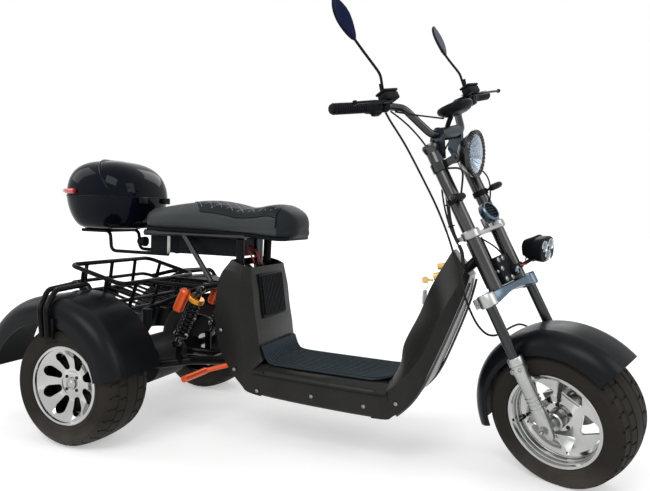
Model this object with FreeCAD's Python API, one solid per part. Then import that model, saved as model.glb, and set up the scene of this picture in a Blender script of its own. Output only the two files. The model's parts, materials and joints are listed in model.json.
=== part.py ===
"""Motorized trike: every sub-part as its own STEP file, in millimetres.

Modelled with +X forward, +Y to the rider's left and +Z up.  While modelling, x is counted from
the rear axle and the ground is z = 0.  On export everything is shifted by ORIGIN_X, which puts the
origin on the ground under the middle of the whole machine.

The fork and all that turns with it are modelled straight in the fork's own frame: x ahead of
the fork legs, y to the left, z up along the legs from the front wheel's centre.  on_fork()
leans them back by RAKE and turns them by PARKED_TURN about the steering axis.
"""
import FreeCAD, Part
import math
import os

from FreeCAD import Placement, Rotation, Vector

# ---------------------------------------------------------------- driving dimensions
WHEELBASE = 1604.0
SIDES = (-1, 1)             # right, left

# rear wheels
REAR_TYRE_R = 217.0
REAR_TYRE_WIDTH = 206.0
REAR_RIM_R = 136.0
REAR_WHEEL_Y = 414.0        # centre of each rear tyre
REAR_HUB_DEPTH = 62.0       # from the outer rim lip in to the hub face
AXLE_SHAFT_R = 16.0
AXLE_TUBE_R = 32.0
AXLE_TUBE_INSET = 118.0     # axle tube ends this far inside the tyre's middle
AXLE_TUBE_HALF = REAR_WHEEL_Y - AXLE_TUBE_INSET
MOTOR_R = 92.0
MOTOR_HALF = 95.0
SWING_ARM_Y = 130.0
SWING_PIVOT_Y = 70.0

# front wheel
FRONT_TYRE_R = 227.5
FRONT_TYRE_WIDTH = 198.0
FRONT_RIM_R = 153.0
HUB_INSET = 7.0             # hub ends inside the front tyre's flanks
FRONT_HUB_HALF = FRONT_TYRE_WIDTH / 2 - HUB_INSET
FRONT_AXLE_R = 10.0
RIM_WALL = 6.0
REAR_RIM_WIDTH = REAR_TYRE_WIDTH - 14
FRONT_RIM_WIDTH = FRONT_TYRE_WIDTH - 16
TREAD_SHARE = 0.80          # of a tyre's half width
CROWN = 14.0                # tread middle above its shoulders
LIP_WIDTH = 9.0
RUNNING_GAP = 0.5           # between a turning bore and its shaft

# fork
RAKE = 27.0                 # degrees from the vertical
PARKED_TURN = -25.5         # degrees, to the right
STEER_BEHIND = 42.0         # steering axis behind the fork legs
STEER_LIMIT = 35.0          # degrees each way from straight ahead
LEG_GAP = 34.0              # from the tyre's side to the fork leg's middle
LEG_Y = FRONT_TYRE_WIDTH / 2 + LEG_GAP
STANCHION_R = 17.0
SLIDER_R = 23.0
SLIDER_BOTTOM = -34.0
SLIDER_TOP = 232.0
COLLAR_HEIGHT = 26.0
LOWER_CLAMP_Z = 424.0
LOWER_CLAMP_HEIGHT = 42.0
YOKE_ARCH = 18.0            # rise of the lower yoke's underside in the middle
UPPER_CLAMP_Z = 637.0
UPPER_CLAMP_HEIGHT = 26.0    # of its rings round the tubes
UPPER_PLATE_HEIGHT = 12.0
HEAD_TUBE_R = 29.0
STEM_R = 15.0
UPPER_TUBE_Y = 78.0
UPPER_TUBE_X = 8.0
UPPER_TUBE_R = 22.5
UPPER_TUBE_TOP = 950.0
HEADLIGHT_TURN = 11.0       # degrees, to the left of straight ahead
DISPLAY_LENGTH = 112.0
DISPLAY_WIDTH = 124.0
DISPLAY_HEIGHT = 32.0
DISPLAY_CORNER = 48.0
DISPLAY_TILT = 20.0         # degrees, nose up from level
MIRROR_WIDTH = 66.0
MIRROR_CORNER = 31.0
BAR_X = 40.0
BAR_Z = 980.0
BAR_R = 13.0
GRIP_R = 18.0
GRIP_LENGTH = 135.0
BAR_RISE = 112.0
BAR_END_Y = 432.0
BAR_END_RISE = 146.0
BAR_SWEEP = 44.0
BAR_LOW_HALF = 88.0
CLAMP_BOSS_Y = 52.0

# lights and horn on the fork
HEADLIGHT_R = 76.0
HEADLIGHT_Z = 868.0
HEADLIGHT_X = 107.0
HORN_R = 36.0
HORN_Z = 678.0
SIGNAL_Z = 757.0
SPOT_Y = 178.0
SPOT_Z = 512.0
SPOT_DEPTH = 84.0
SPOT_WIDTH = 104.0
SPOT_HEIGHT = 86.0
EYE_R = 20.0
HORN_X = 34.0               # back of the horn

# body
BODY_WALL = 4.0
MAT_THICKNESS = 5.0
MAT_MARGIN = 8.0
GRILLE_MARGIN = 8.0
GRILLE_HEIGHT = 118.0
GRILLE_HALF_WIDTH = 78.0
GRILLE_SLOTS = 8
RAIL_R = 16.0
RAIL_Y = 108.0
RAIL_Z = 222.0
SWING_PIVOT_X = 448.0
SWING_PIVOT_Z = 268.0

# seat
SEAT_TUBE_Z = 739.0
SEAT_TUBE_Y = 112.0
SEAT_TUBE_R = 12.0
SEAT_REAR_X = 24.0
SEAT_LENGTH = 640.0
SEAT_RAIL_LENGTH = 450.0
SEAT_HALF_WIDTH = 142.0
SEAT_BASE_Z = 753.0
SEAT_POST_X = 470.0
SEAT_POST_FOOT_Z = 612.0
BRAKE_HOSE_R = 3.5
SLEEVE_R = 6.0
SLEEVE_GAP = 8.0            # between the sleeve's two halves, where the fork turns
CASE_SIDE_GAP = 20.0        # from the seat tubes' middle to the controllers' case

# basket, tilted nose down
BASKET_REAR_X = -232.0
BASKET_REAR_Z = 602.0
BASKET_LENGTH = 256.0
BASKET_HALF_WIDTH = 241.0
BASKET_DEPTH = 116.0
BASKET_TILT = 13.5
BASKET_TUBE_R = 8.0
BASKET_RAIL = 0.62          # middle rail's share of the depth

# top box
BOX_CENTRE_X = -205.0
BOX_LENGTH = 372.0
BOX_WIDTH = 376.0
BOX_BASE_Z = 744.0
BOX_SEAM_Z = 876.0
BOX_TOP_Z = 1026.0
BOX_WALL = 4.0

# rear fenders
FENDER_GAP = 96.0           # from the tyre's radius to the fender's
FENDER_X = -73.0
FENDER_DROP = 10.0          # fender's centre below the axle
FENDER_WALL = 3.0
FENDER_SHOULDER = 60.0
STAY_CLEARANCE = 22.0       # from the fender's top to the stays' middle
STAY_R = 9.0
STAY_FOOT_Z = 388.0
SKIRT_DEPTH = 30.0          # below the shoulder, over the tyre's outer flank
FENDER_INNER_GAP = 21.0
FENDER_OUTER_GAP = 14.0
FENDER_R = REAR_TYRE_R + FENDER_GAP
FENDER_Z = REAR_TYRE_R - FENDER_DROP
FENDER_INNER_Y = REAR_WHEEL_Y - REAR_TYRE_WIDTH / 2 - FENDER_INNER_GAP
FENDER_OUTER_Y = REAR_WHEEL_Y + REAR_TYRE_WIDTH / 2 + FENDER_OUTER_GAP
FENDER_EDGE_R = FENDER_R - FENDER_SHOULDER
FENDER_FRONT_ANGLE = 11.0
FENDER_REAR_ANGLE = 176.0

# front fender
FRONT_FENDER_GAP = 62.5
FRONT_FENDER_SIDE_GAP = 9.0
FRONT_FENDER_R = FRONT_TYRE_R + FRONT_FENDER_GAP
FRONT_FENDER_HALF = FRONT_TYRE_WIDTH / 2 + FRONT_FENDER_SIDE_GAP
FRONT_FENDER_WALL = 3.0
FRONT_SKIRT_DEPTH = 68.0
FRONT_FENDER_FRONT_ANGLE = 21.0
FRONT_FENDER_REAR_ANGLE = 172.0

SHOCK_Y = 122.0
SHOCK_FOOT = (188.0, 312.0)
SHOCK_HEAD = (292.0, 530.0)
SPRING_R = 28.0
SHOCK_PIN_R = 6.0
RACK_Y = 84.0
RACK_R = 10.0
BASKET_SLATS = 7
BOX_CORNER = 140.0
LID_GAP = 2.0
HINGE_R = 6.0
LID_OPENING = 80.0          # degrees

X = Vector(1, 0, 0)
Y = Vector(0, 1, 0)
Z = Vector(0, 0, 1)

NODES = {}
ON_FORK = {}


# ---------------------------------------------------------------- shape helpers
def box(x0, x1, y0, y1, z0, z1):
    """A block between six planes."""
    return Part.makeBox(x1 - x0, y1 - y0, z1 - z0, Vector(x0, y0, z0))


def rod(start, end, radius):
    """A round bar from one point to another."""
    start = Vector(*start)
    end = Vector(*end)
    along = end - start
    return Part.makeCylinder(radius, along.Length, start, along)


def pipe(start, end, radius, bore):
    """A round bar with a bore."""
    return rod(start, end, radius).cut(rod(start, end, bore))


def join(shapes):
    """One solid, or a few that don't touch, from overlapping ones."""
    whole = shapes[0]
    if len(shapes) > 1:
        whole = shapes[0].fuse(shapes[1:])
    return whole.removeSplitter()


def mirrored(shape):
    """The same shape on the other side of the machine."""
    return shape.mirror(Vector(0, 0, 0), Y)


def side_of(shape, side):
    """A shape made for the left (+Y), or its mirror image for the right."""
    return shape if side > 0 else mirrored(shape)


def rounded_path(points, bend):
    """A wire of straight runs joined by tangent arcs of one bend radius."""
    points = [Vector(*p) for p in points]
    edges = []
    last = points[0]
    for before, corner, after in zip(points, points[1:], points[2:]):
        back = (before - corner).normalize()
        ahead = (after - corner).normalize()
        half_turn = (math.pi - back.getAngle(ahead)) / 2
        room = 0.45 * min((before - corner).Length, (after - corner).Length)
        radius = min(bend, room / math.tan(half_turn))
        reach = radius * math.tan(half_turn)
        begin = corner + back * reach
        finish = corner + ahead * reach
        centre_way = (back + ahead).normalize()
        middle = corner + centre_way * (radius / math.cos(half_turn) - radius)
        edges.append(Part.LineSegment(last, begin).toShape())
        edges.append(Part.Arc(begin, middle, finish).toShape())
        last = finish
    edges.append(Part.LineSegment(last, points[-1]).toShape())
    return Part.Wire(edges)


def bent_tube(points, radius, bend):
    """A round tube along straight runs and bends."""
    path = rounded_path(points, bend)
    first = Vector(*points[0])
    way = Vector(*points[1]) - first
    ring = Part.Wire(Part.Circle(first, way, radius).toShape())
    return path.makePipeShell([ring], True, False)


def hose(name, points, radius):
    """A round hose whose bends are as large as its runs allow; prints their radii."""
    points = [Vector(*p) for p in points]
    bends = []
    for before, corner, after in zip(points, points[1:], points[2:]):
        half_turn = (math.pi - (before - corner).getAngle(after - corner)) / 2
        shorter = min((before - corner).Length, (after - corner).Length)
        bends.append(0.45 * shorter / math.tan(half_turn))
    tube = bent_tube(points, radius, max(bends) + 1)
    length = rounded_path(points, max(bends) + 1).Length
    share = tube.Volume / (math.pi * radius ** 2 * length)
    print(name, "bend radii", [round(b) for b in bends], "length", round(length), "fill", round(share, 4))
    return tube


def polygon(points):
    """A closed face through points in space."""
    points = [Vector(*p) for p in points]
    return Part.Face(Part.makePolygon(points + points[:1]))


def rounded_block(length, width, height, corner, edge):
    """A block centred in plan on the origin, base at z = 0, with rounded sides and edges."""
    block = Part.makeBox(length, width, height, Vector(-length / 2, -width / 2, 0))
    upright = [e for e in block.Edges if abs(e.tangentAt(e.FirstParameter).z) > 0.9]
    block = block.makeFillet(corner, upright)
    if edge:
        flat = [e for e in block.Edges if abs(e.BoundBox.ZMax - e.BoundBox.ZMin) < 1e-6]
        block = block.makeFillet(edge, flat)
    return block


# ---------------------------------------------------------------- placing
def front_axle_height():
    """Height of the straight-ahead front axle that sets the turned tyre on the ground."""
    tread_half = FRONT_TYRE_WIDTH / 2 * TREAD_SHARE
    tread_r = (tread_half ** 2 + CROWN ** 2) / (2 * CROWN)
    rake = math.radians(RAKE)
    turn = math.radians(PARKED_TURN)
    tilt = math.asin(math.sin(rake) * math.sin(turn))
    drop = STEER_BEHIND * math.sin(rake) * (1 - math.cos(turn))
    return (FRONT_TYRE_R - tread_r) * math.cos(tilt) + tread_r + drop


def steer_placement():
    """Lean the fork's own frame back and turn it about the steering axis."""
    lean = head_placement()
    along = lean.Rotation.multVec(Z)
    pivot = lean.multVec(Vector(-STEER_BEHIND, 0, 0))
    turn = Placement(Vector(0, 0, 0), Rotation(along, PARKED_TURN), pivot)
    return turn.multiply(lean)


def head_placement():
    """The fork's frame leaned back but not turned, for what the frame carries."""
    return Placement(Vector(WHEELBASE, 0, front_axle_height()), Rotation(Y, -RAKE))


def placed(shape, placement):
    """A copy of a shape moved by a placement."""
    copy = shape.copy()
    copy.Placement = placement.multiply(copy.Placement)
    return copy


def keep(name, shape):
    """Hold a sub-part for export, in the frame it was modelled in."""
    NODES[name] = shape


def on_fork(name, shape, around=()):
    """Hold a sub-part that turns with the fork, hollowed where it goes around others."""
    if around:
        shape = shape.cut([ON_FORK[other] for other in around])
    ON_FORK[name] = shape
    keep(name, placed(shape, steer_placement()))


# ---------------------------------------------------------------- body shells
# Sections of the U-shaped body, each a flat hexagon.  Columns: outer edge x, z, half width;
# inner edge x, z, half width; the side crease's share of the way in, and its half width.
FLOOR_REAR = (586, 176, 178, 594, 280, 150, 0.865, 189)
HOUSING_SECTIONS = [
    FLOOR_REAR,
    (500, 212, 176, 580, 303, 150, 0.725, 188),
    (425, 300, 172, 562, 343, 150, 0.71, 186),
    (384, 450, 168, 540, 467, 150, 0.725, 184),
    (398, 600, 158, 516, 610, 146, 0.76, 174),
    (425, 655, 140, 505, 673, 132, 0.66, 156),
]
# The leg shield's sections have the same columns, with x counted back from the front axle.
SHIELD_FROM_AXLE = [
    (604, 160, 178, 594, 274, 150, 0.825, 189),
    (524, 180, 177, 558, 280, 130, 0.82, 188),
    (446, 236, 168, 532, 334, 95, 0.66, 180),
    (384, 343, 150, 529, 400, 62, 0.37, 165),
    (336, 475, 130, 483, 505, 50, 0.37, 145),
    (314, 572, 105, 447, 602, 45, 0.30, 120),
    (316, 645, 66, 381, 728, 34, 0.23, 76),
]
SHIELD_SECTIONS = [(WHEELBASE - s[0], s[1], s[2], WHEELBASE - s[3]) + s[4:] for s in SHIELD_FROM_AXLE]
FLOOR_FRONT = SHIELD_SECTIONS[0]
FLOOR_SECTIONS = [FLOOR_REAR, FLOOR_FRONT]


def hexagon(section, inset):
    """The wire of one body section, made smaller all round by the inset."""
    ox, oz, outer_half, ix, iz, inner_half, share, crease_half = section
    outer = Vector(ox, 0, oz)
    inner = Vector(ix, 0, iz)
    crease = outer + (inner - outer) * share
    inward = (inner - outer).normalize() * inset
    rows = [
        (outer + inward, outer_half - inset),
        (crease, crease_half - inset),
        (inner - inward, inner_half - inset),
    ]
    points = [point - Y * half for point, half in rows]
    points += [point + Y * half for point, half in reversed(rows)]
    return Part.makePolygon(points + points[:1])


def body_shell(sections, wall):
    """A hollow run of the body through its sections, open at both ends."""
    outside = Part.makeLoft([hexagon(s, 0) for s in sections], True, True)
    inside = Part.makeLoft([hexagon(s, wall) for s in sections], True, True)
    return outside.cut(inside)


def build_body():
    """Floor tray, leg shield and seat housing, with the mat and the grille."""
    keep("floor_tray", body_shell(FLOOR_SECTIONS, BODY_WALL))
    keep("leg_shield", body_shell(SHIELD_SECTIONS, BODY_WALL))
    housing = body_shell(HOUSING_SECTIONS, BODY_WALL)
    keep("seat_housing", housing.cut(box(300, 482, -146, 146, 200, 625)))
    edge = FLOOR_REAR[5] - MAT_MARGIN
    start = floor_point(MAT_MARGIN)
    end = floor_point(FLOOR_FRONT[3] - FLOOR_REAR[3] - 1)
    mat = polygon([start - Y * edge, end - Y * edge, end + Y * edge, start + Y * edge])
    keep("floor_mat", mat.extrude(Vector(0, 0, MAT_THICKNESS)))
    build_grille()


def floor_point(run):
    """A point on the floor's top, a run ahead of its rear end."""
    rear = Vector(FLOOR_REAR[3], 0, FLOOR_REAR[4])
    front = Vector(FLOOR_FRONT[3], 0, FLOOR_FRONT[4])
    return rear + (front - rear) * (run / (front.x - rear.x))


def build_grille():
    """Ventilated cover on the face of the seat housing, towards the rider's feet."""
    low = HOUSING_SECTIONS[3]
    high = HOUSING_SECTIONS[4]
    foot = Vector(low[3], 0, low[4])
    up = (Vector(high[3], 0, high[4]) - foot).normalize()
    out = Vector(up.z, 0, -up.x)
    base = foot + up * GRILLE_MARGIN
    top = base + up * GRILLE_HEIGHT
    plate = rectangle(base, top, -GRILLE_HALF_WIDTH, GRILLE_HALF_WIDTH).extrude(out * 6)
    reach = GRILLE_HALF_WIDTH - GRILLE_MARGIN
    pitch = 2 * reach / (2 * GRILLE_SLOTS - 1)
    slots = []
    for index in range(GRILLE_SLOTS):
        y = -reach + 2 * index * pitch
        slot = rectangle(base + up * GRILLE_MARGIN, top - up * GRILLE_MARGIN, y, y + pitch)
        slot.translate(out * 3)
        slots.append(slot.extrude(out * 4))
    keep("grille_panel", plate.cut(slots))


def rectangle(low, high, y0, y1):
    """A flat face between two points in the middle plane, over a range of y."""
    return polygon([low + Y * y0, high + Y * y0, high + Y * y1, low + Y * y1])


# ---------------------------------------------------------------- frame
def build_frame():
    """Welded tube frame: head tube, lower rails, rear loops and the rack rails."""
    tubes = []
    head = head_placement()
    gap = 6.0
    foot = LOWER_CLAMP_Z + LOWER_CLAMP_HEIGHT / 2 + gap
    top = UPPER_CLAMP_Z - UPPER_CLAMP_HEIGHT / 2 - gap
    head_tube = rod((-STEER_BEHIND, 0, foot), (-STEER_BEHIND, 0, top), HEAD_TUBE_R)
    neck = head.multVec(Vector(-STEER_BEHIND, 0, top - 60))
    for side in SIDES:
        tubes.append(bent_tube([
            (neck.x - 8, side * 10, neck.z - 4),
            (WHEELBASE - 358, side * 32, 640),
            (WHEELBASE - 382, side * 60, 540),
            (WHEELBASE - 416, side * 80, 400),
            (WHEELBASE - 514, side * RAIL_Y, RAIL_Z + 6),
            (WHEELBASE - 574, side * RAIL_Y, RAIL_Z),
            (560, side * RAIL_Y, RAIL_Z),
            (468, side * RAIL_Y, 300),
            (440, side * RAIL_Y, 470),
            (452, side * RAIL_Y, 640),
            (452, side * SEAT_TUBE_Y, SEAT_TUBE_Z - SEAT_TUBE_R + 2),
        ], RAIL_R, 70))
    for x in (FLOOR_REAR[3] + 46, FLOOR_FRONT[3] - 70):
        tubes.append(rod((x, -RAIL_Y, RAIL_Z - 8), (x, RAIL_Y, RAIL_Z - 8), 8))
        for side in SIDES:
            y = side * RAIL_Y
            post_top = floor_point(x - FLOOR_REAR[3]).z - BODY_WALL / 2
            tubes.append(box(x - 16, x + 16, y - 10, y + 10, RAIL_Z + 8, post_top))
    tubes.append(rod((SEAT_POST_X - 18, -RAIL_Y, 600), (SEAT_POST_X - 18, RAIL_Y, 600), 12))
    tubes.append(box(SEAT_POST_X - 30, SEAT_POST_X + 22, -30, 30, 604, SEAT_POST_FOOT_Z))
    tubes.append(rod((WHEELBASE - 382, -110, 540), (WHEELBASE - 382, 110, 540), 9))
    tubes.append(rod((442, -173, 470), (442, 173, 470), 8))
    tubes.append(rod((SWING_PIVOT_X, -RAIL_Y, SWING_PIVOT_Z), (SWING_PIVOT_X, RAIL_Y, SWING_PIVOT_Z), 11))
    for side in SIDES:
        tubes.append(rod((SWING_PIVOT_X, side * RAIL_Y, SWING_PIVOT_Z),
                         (492, side * RAIL_Y, SWING_PIVOT_Z + 12), 11))
    frame = join(tubes + [placed(head_tube, head)])
    bore = rod((-STEER_BEHIND, 0, foot - 1), (-STEER_BEHIND, 0, top + 1), STEM_R + RUNNING_GAP)
    seat_bars = [rod((SEAT_REAR_X, s * SEAT_TUBE_Y, SEAT_TUBE_Z),
                     (SEAT_REAR_X + SEAT_LENGTH, s * SEAT_TUBE_Y, SEAT_TUBE_Z), SEAT_TUBE_R)
                 for s in SIDES]
    shells = [NODES[name] for name in ("floor_tray", "leg_shield", "seat_housing")]
    keep("main_frame", frame.cut([placed(bore, head)] + seat_bars + shells))


def build_rear_rack():
    """Rack rails from the rear loops: over the shock absorbers and under the basket's floor."""
    tubes = []
    front_floor = basket_placement().multVec(Vector(BASKET_LENGTH - 4, 0, -BASKET_DEPTH - 16))
    rear_floor = basket_placement().multVec(Vector(-6, 0, -BASKET_DEPTH - 16))
    rim = basket_placement().multVec(Vector(BASKET_LENGTH, 0, 0))
    head_x, head_z = SHOCK_HEAD
    for side in SIDES:
        y = side * RACK_Y
        tubes.append(bent_tube([(452, side * RAIL_Y, 560), (head_x + 60, y, head_z + 22),
                                (head_x - 40, y, head_z), (120, y, 470), front_floor + Y * y,
                                rear_floor + Y * y], RACK_R, 60))
        tubes.append(rod((head_x, y, head_z + 6), (rim.x, y, rim.z - 4), 7))
    tubes.append(rod((head_x, -SHOCK_Y - 16, head_z), (head_x, SHOCK_Y + 16, head_z), SHOCK_PIN_R))
    tubes.append(rod((150, -RACK_Y, 484), (150, RACK_Y, 484), 7))
    keep("rear_rack", join(tubes).cut([NODES["main_frame"], NODES["seat_housing"], NODES["basket"]]))


def build_batteries():
    """The heavy battery in the floor, and the controllers' case under the seat."""
    keep("battery_pack", box(FLOOR_REAR[3] + 38, FLOOR_FRONT[3] - 62, -84, 84, RAIL_Z, 268))
    half = SEAT_TUBE_Y - CASE_SIDE_GAP
    case = box(36, 430, -half, half, 662, SEAT_TUBE_Z - SEAT_TUBE_R)
    strap = box(152, 164, -half - 2, half + 2, 660, SEAT_TUBE_Z + 6)
    knob = rod((24, -60, 690), (36, -60, 690), 14)
    keep("controller_case", join([case, strap, knob]))


# ---------------------------------------------------------------- seat
def build_seat():
    """Seat rails with their struts, and the cushion that lies on them."""
    front_x = SEAT_REAR_X + SEAT_RAIL_LENGTH
    parts = []
    for side in SIDES:
        y = side * SEAT_TUBE_Y
        parts.append(rod((SEAT_REAR_X, y, SEAT_TUBE_Z), (front_x, y, SEAT_TUBE_Z), SEAT_TUBE_R))
        parts.append(rod((205, y, SEAT_TUBE_Z - 2), (372, side * 176, 572), 10))
    for x in (SEAT_REAR_X + 36, SEAT_REAR_X + 226, front_x - 12):
        parts.append(rod((x, -SEAT_TUBE_Y, SEAT_TUBE_Z), (x, SEAT_TUBE_Y, SEAT_TUBE_Z), 8))
    tubes = join(parts)
    plate = box(SEAT_REAR_X, SEAT_REAR_X + SEAT_LENGTH - 60, -SEAT_TUBE_Y + 12, SEAT_TUBE_Y - 12,
                SEAT_TUBE_Z + 6, SEAT_BASE_Z)
    post = rod((SEAT_POST_X, 0, SEAT_POST_FOOT_Z), (SEAT_POST_X, 0, SEAT_TUBE_Z + 6), 17)
    keep("seat_frame", join([tubes, plate, post]))
    keep("seat_cushion", seat_solid().cut([NODES["seat_frame"]]))


# Side profile of the cushion: x from its rear end, height above its base.
SEAT_PROFILE = [(0, 0), (-8, 60), (14, 84), (150, 92), (250, 114), (330, 108), (430, 88),
                (540, 104), (610, 88), (640, 40), (632, 0), (590, -20), (500, -2)]


def seat_solid():
    """The cushion as a plain block of its side profile, with a round nose in plan."""
    points = [Vector(SEAT_REAR_X + x, -SEAT_HALF_WIDTH, SEAT_BASE_Z + z) for x, z in SEAT_PROFILE]
    block = polygon(points).extrude(Y * (2 * SEAT_HALF_WIDTH))
    nose = rod((SEAT_REAR_X + SEAT_LENGTH - SEAT_HALF_WIDTH, 0, SEAT_BASE_Z - 60),
               (SEAT_REAR_X + SEAT_LENGTH - SEAT_HALF_WIDTH, 0, SEAT_BASE_Z + 180), SEAT_HALF_WIDTH)
    rest = box(SEAT_REAR_X - 20, SEAT_REAR_X + SEAT_LENGTH - SEAT_HALF_WIDTH, -SEAT_HALF_WIDTH,
               SEAT_HALF_WIDTH, SEAT_BASE_Z - 60, SEAT_BASE_Z + 180)
    return block.common(nose.fuse(rest).removeSplitter())


# ---------------------------------------------------------------- rear end
def build_rear_axle():
    """Axle beam with its motor, swing arms and shock absorbers."""
    beam = rod((0, -AXLE_TUBE_HALF, REAR_TYRE_R), (0, AXLE_TUBE_HALF, REAR_TYRE_R), AXLE_TUBE_R)
    ends = []
    for side in SIDES:
        tip = side * (REAR_WHEEL_Y + 58)
        ends.append(rod((0, side * AXLE_TUBE_HALF, REAR_TYRE_R), (0, tip, REAR_TYRE_R), AXLE_SHAFT_R))
    motor_block = rod((0, -MOTOR_HALF, REAR_TYRE_R), (0, MOTOR_HALF, REAR_TYRE_R), MOTOR_R)
    keep("rear_axle", join([beam] + ends).cut(motor_block))
    keep("drive_motor", motor_block)
    arms = []
    for side in SIDES:
        y = side * SWING_ARM_Y
        arms.append(bent_tube([
            (0, y, REAR_TYRE_R), (110, y, REAR_TYRE_R + 8), (225, side * SWING_PIVOT_Y, 242),
            (SWING_PIVOT_X, side * SWING_PIVOT_Y, SWING_PIVOT_Z)], 17, 60))
        arms.append(rod((SWING_PIVOT_X, side * (SWING_PIVOT_Y - 18), SWING_PIVOT_Z),
                        (SWING_PIVOT_X, side * (SWING_PIVOT_Y + 18), SWING_PIVOT_Z), 22))
        arms.append(rod((0, y - 14, REAR_TYRE_R), (0, y + 14, REAR_TYRE_R), AXLE_TUBE_R + 10))
    foot_x, foot_z = SHOCK_FOOT
    for side in SIDES:
        inner = side * (SHOCK_Y - 14)
        arms.append(box(foot_x - 13, foot_x + 13, min(inner, inner - side * 10),
                        max(inner, inner - side * 10), 230, foot_z + 12))
        arms.append(rod((foot_x, inner - side * 5, foot_z), (foot_x, side * (SHOCK_Y + 18), foot_z),
                        SHOCK_PIN_R))
    arms.append(rod((300, -SWING_PIVOT_Y, 251), (300, SWING_PIVOT_Y, 251), 11))
    beam_room = rod((0, -AXLE_TUBE_HALF, REAR_TYRE_R), (0, AXLE_TUBE_HALF, REAR_TYRE_R), AXLE_TUBE_R)
    keep("swing_arm", join(arms).cut([beam_room, NODES["main_frame"]]))


def build_shocks():
    """Two coil-over dampers, each with its reservoir behind it."""
    dampers = []
    for side in SIDES:
        y = side * SHOCK_Y
        foot = Vector(SHOCK_FOOT[0], y, SHOCK_FOOT[1])
        head = Vector(SHOCK_HEAD[0], y, SHOCK_HEAD[1])
        up = (head - foot).normalize()
        back = Vector(-up.z, 0, up.x)
        length = (head - foot).Length
        core = rod(foot + up * 5, head - up * 5, 11)
        spring = rod(foot + up * 46, foot + up * (length - 52), SPRING_R)
        collar = rod(foot + up * (length - 52), foot + up * (length - 36), SPRING_R + 3)
        seat_ring = rod(foot + up * 38, foot + up * 46, SPRING_R + 3)
        can_foot = foot + up * (length - 122) + back * 56
        can = rod(can_foot, can_foot + up * 90, 21)
        link = rod(foot + up * (length - 44), can_foot + up * 78, 6)
        eyes = [rod(p - Y * 14, p + Y * 14, 14) for p in (foot, head)]
        bores = [rod(p - Y * 15, p + Y * 15, SHOCK_PIN_R) for p in (foot, head)]
        dampers.append(join([core, spring, collar, seat_ring, can, link] + eyes).cut(bores))
    keep("shock_absorbers", Part.makeCompound(dampers))


def basket_placement():
    """The basket's own frame: x forward from its rear rim, z up from the rim."""
    return Placement(Vector(BASKET_REAR_X, 0, BASKET_REAR_Z), Rotation(Y, BASKET_TILT))


def basket_loop(inset, depth, radius):
    """A closed rail of the basket, inset from the rim and below it."""
    x0 = inset
    x1 = BASKET_LENGTH - inset
    half = BASKET_HALF_WIDTH - inset
    corners = [(x0, 0), (x0, half), (x1, half), (x1, -half), (x0, -half), (x0, 0)]
    points = [(x, y, -depth) for x, y in corners]
    return bent_tube(points, radius, 34)


def build_basket():
    """Luggage basket of round bar, with a slatted floor."""
    bars = [
        basket_loop(0, 0, BASKET_TUBE_R),
        basket_loop(6, BASKET_RAIL * BASKET_DEPTH, BASKET_TUBE_R - 2),
        basket_loop(12, BASKET_DEPTH, BASKET_TUBE_R),
    ]
    half = BASKET_HALF_WIDTH
    for x in (70, BASKET_LENGTH - 70):
        for side in SIDES:
            bars.append(rod((x, side * half, 0), (x, side * (half - 12), -BASKET_DEPTH), 5))
    for y in (-150, 0, 150):
        bars.append(rod((0, y, 0), (12, y, -BASKET_DEPTH), 5))
        bars.append(rod((BASKET_LENGTH, y, 0), (BASKET_LENGTH - 12, y, -BASKET_DEPTH), 5))
    for index in range(BASKET_SLATS):
        y = (index - (BASKET_SLATS - 1) / 2) * 52
        bars.append(rod((12, y, -BASKET_DEPTH), (BASKET_LENGTH - 12, y, -BASKET_DEPTH), 5))
    basket = placed(join(bars), basket_placement())
    keep("basket", basket)


def build_rear_stays():
    """Tubes from the basket over each fender, ending in a lug on its outer skirt."""
    over = FENDER_Z + FENDER_R + STAY_CLEARANCE
    skirt_y = FENDER_OUTER_Y + 15
    stays = []
    for side in SIDES:
        tubes = []
        for reach, crest_x, foot_x in ((46, -84, -58), (122, -52, -34)):
            start = basket_placement().multVec(
                Vector(reach, side * (BASKET_HALF_WIDTH - 6), -BASKET_RAIL * BASKET_DEPTH))
            tubes.append(bent_tube([
                start, (0.5 * (start.x + crest_x), side * (FENDER_INNER_Y + 12), over),
                (crest_x, side * (FENDER_OUTER_Y - 34), over),
                (0.5 * (crest_x + foot_x), side * skirt_y, over - 58),
                (foot_x, side * skirt_y, STAY_FOOT_Z)], STAY_R, 50))
        tubes.append(box(-76, -16, min(side * FENDER_OUTER_Y, side * (skirt_y - 4)),
                         max(side * FENDER_OUTER_Y, side * (skirt_y - 4)), STAY_FOOT_Z - 6,
                         STAY_FOOT_Z + 64))
        stays.append(join(tubes).cut([NODES["basket"]]))
    keep("fender_stays", Part.makeCompound(stays))


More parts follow.
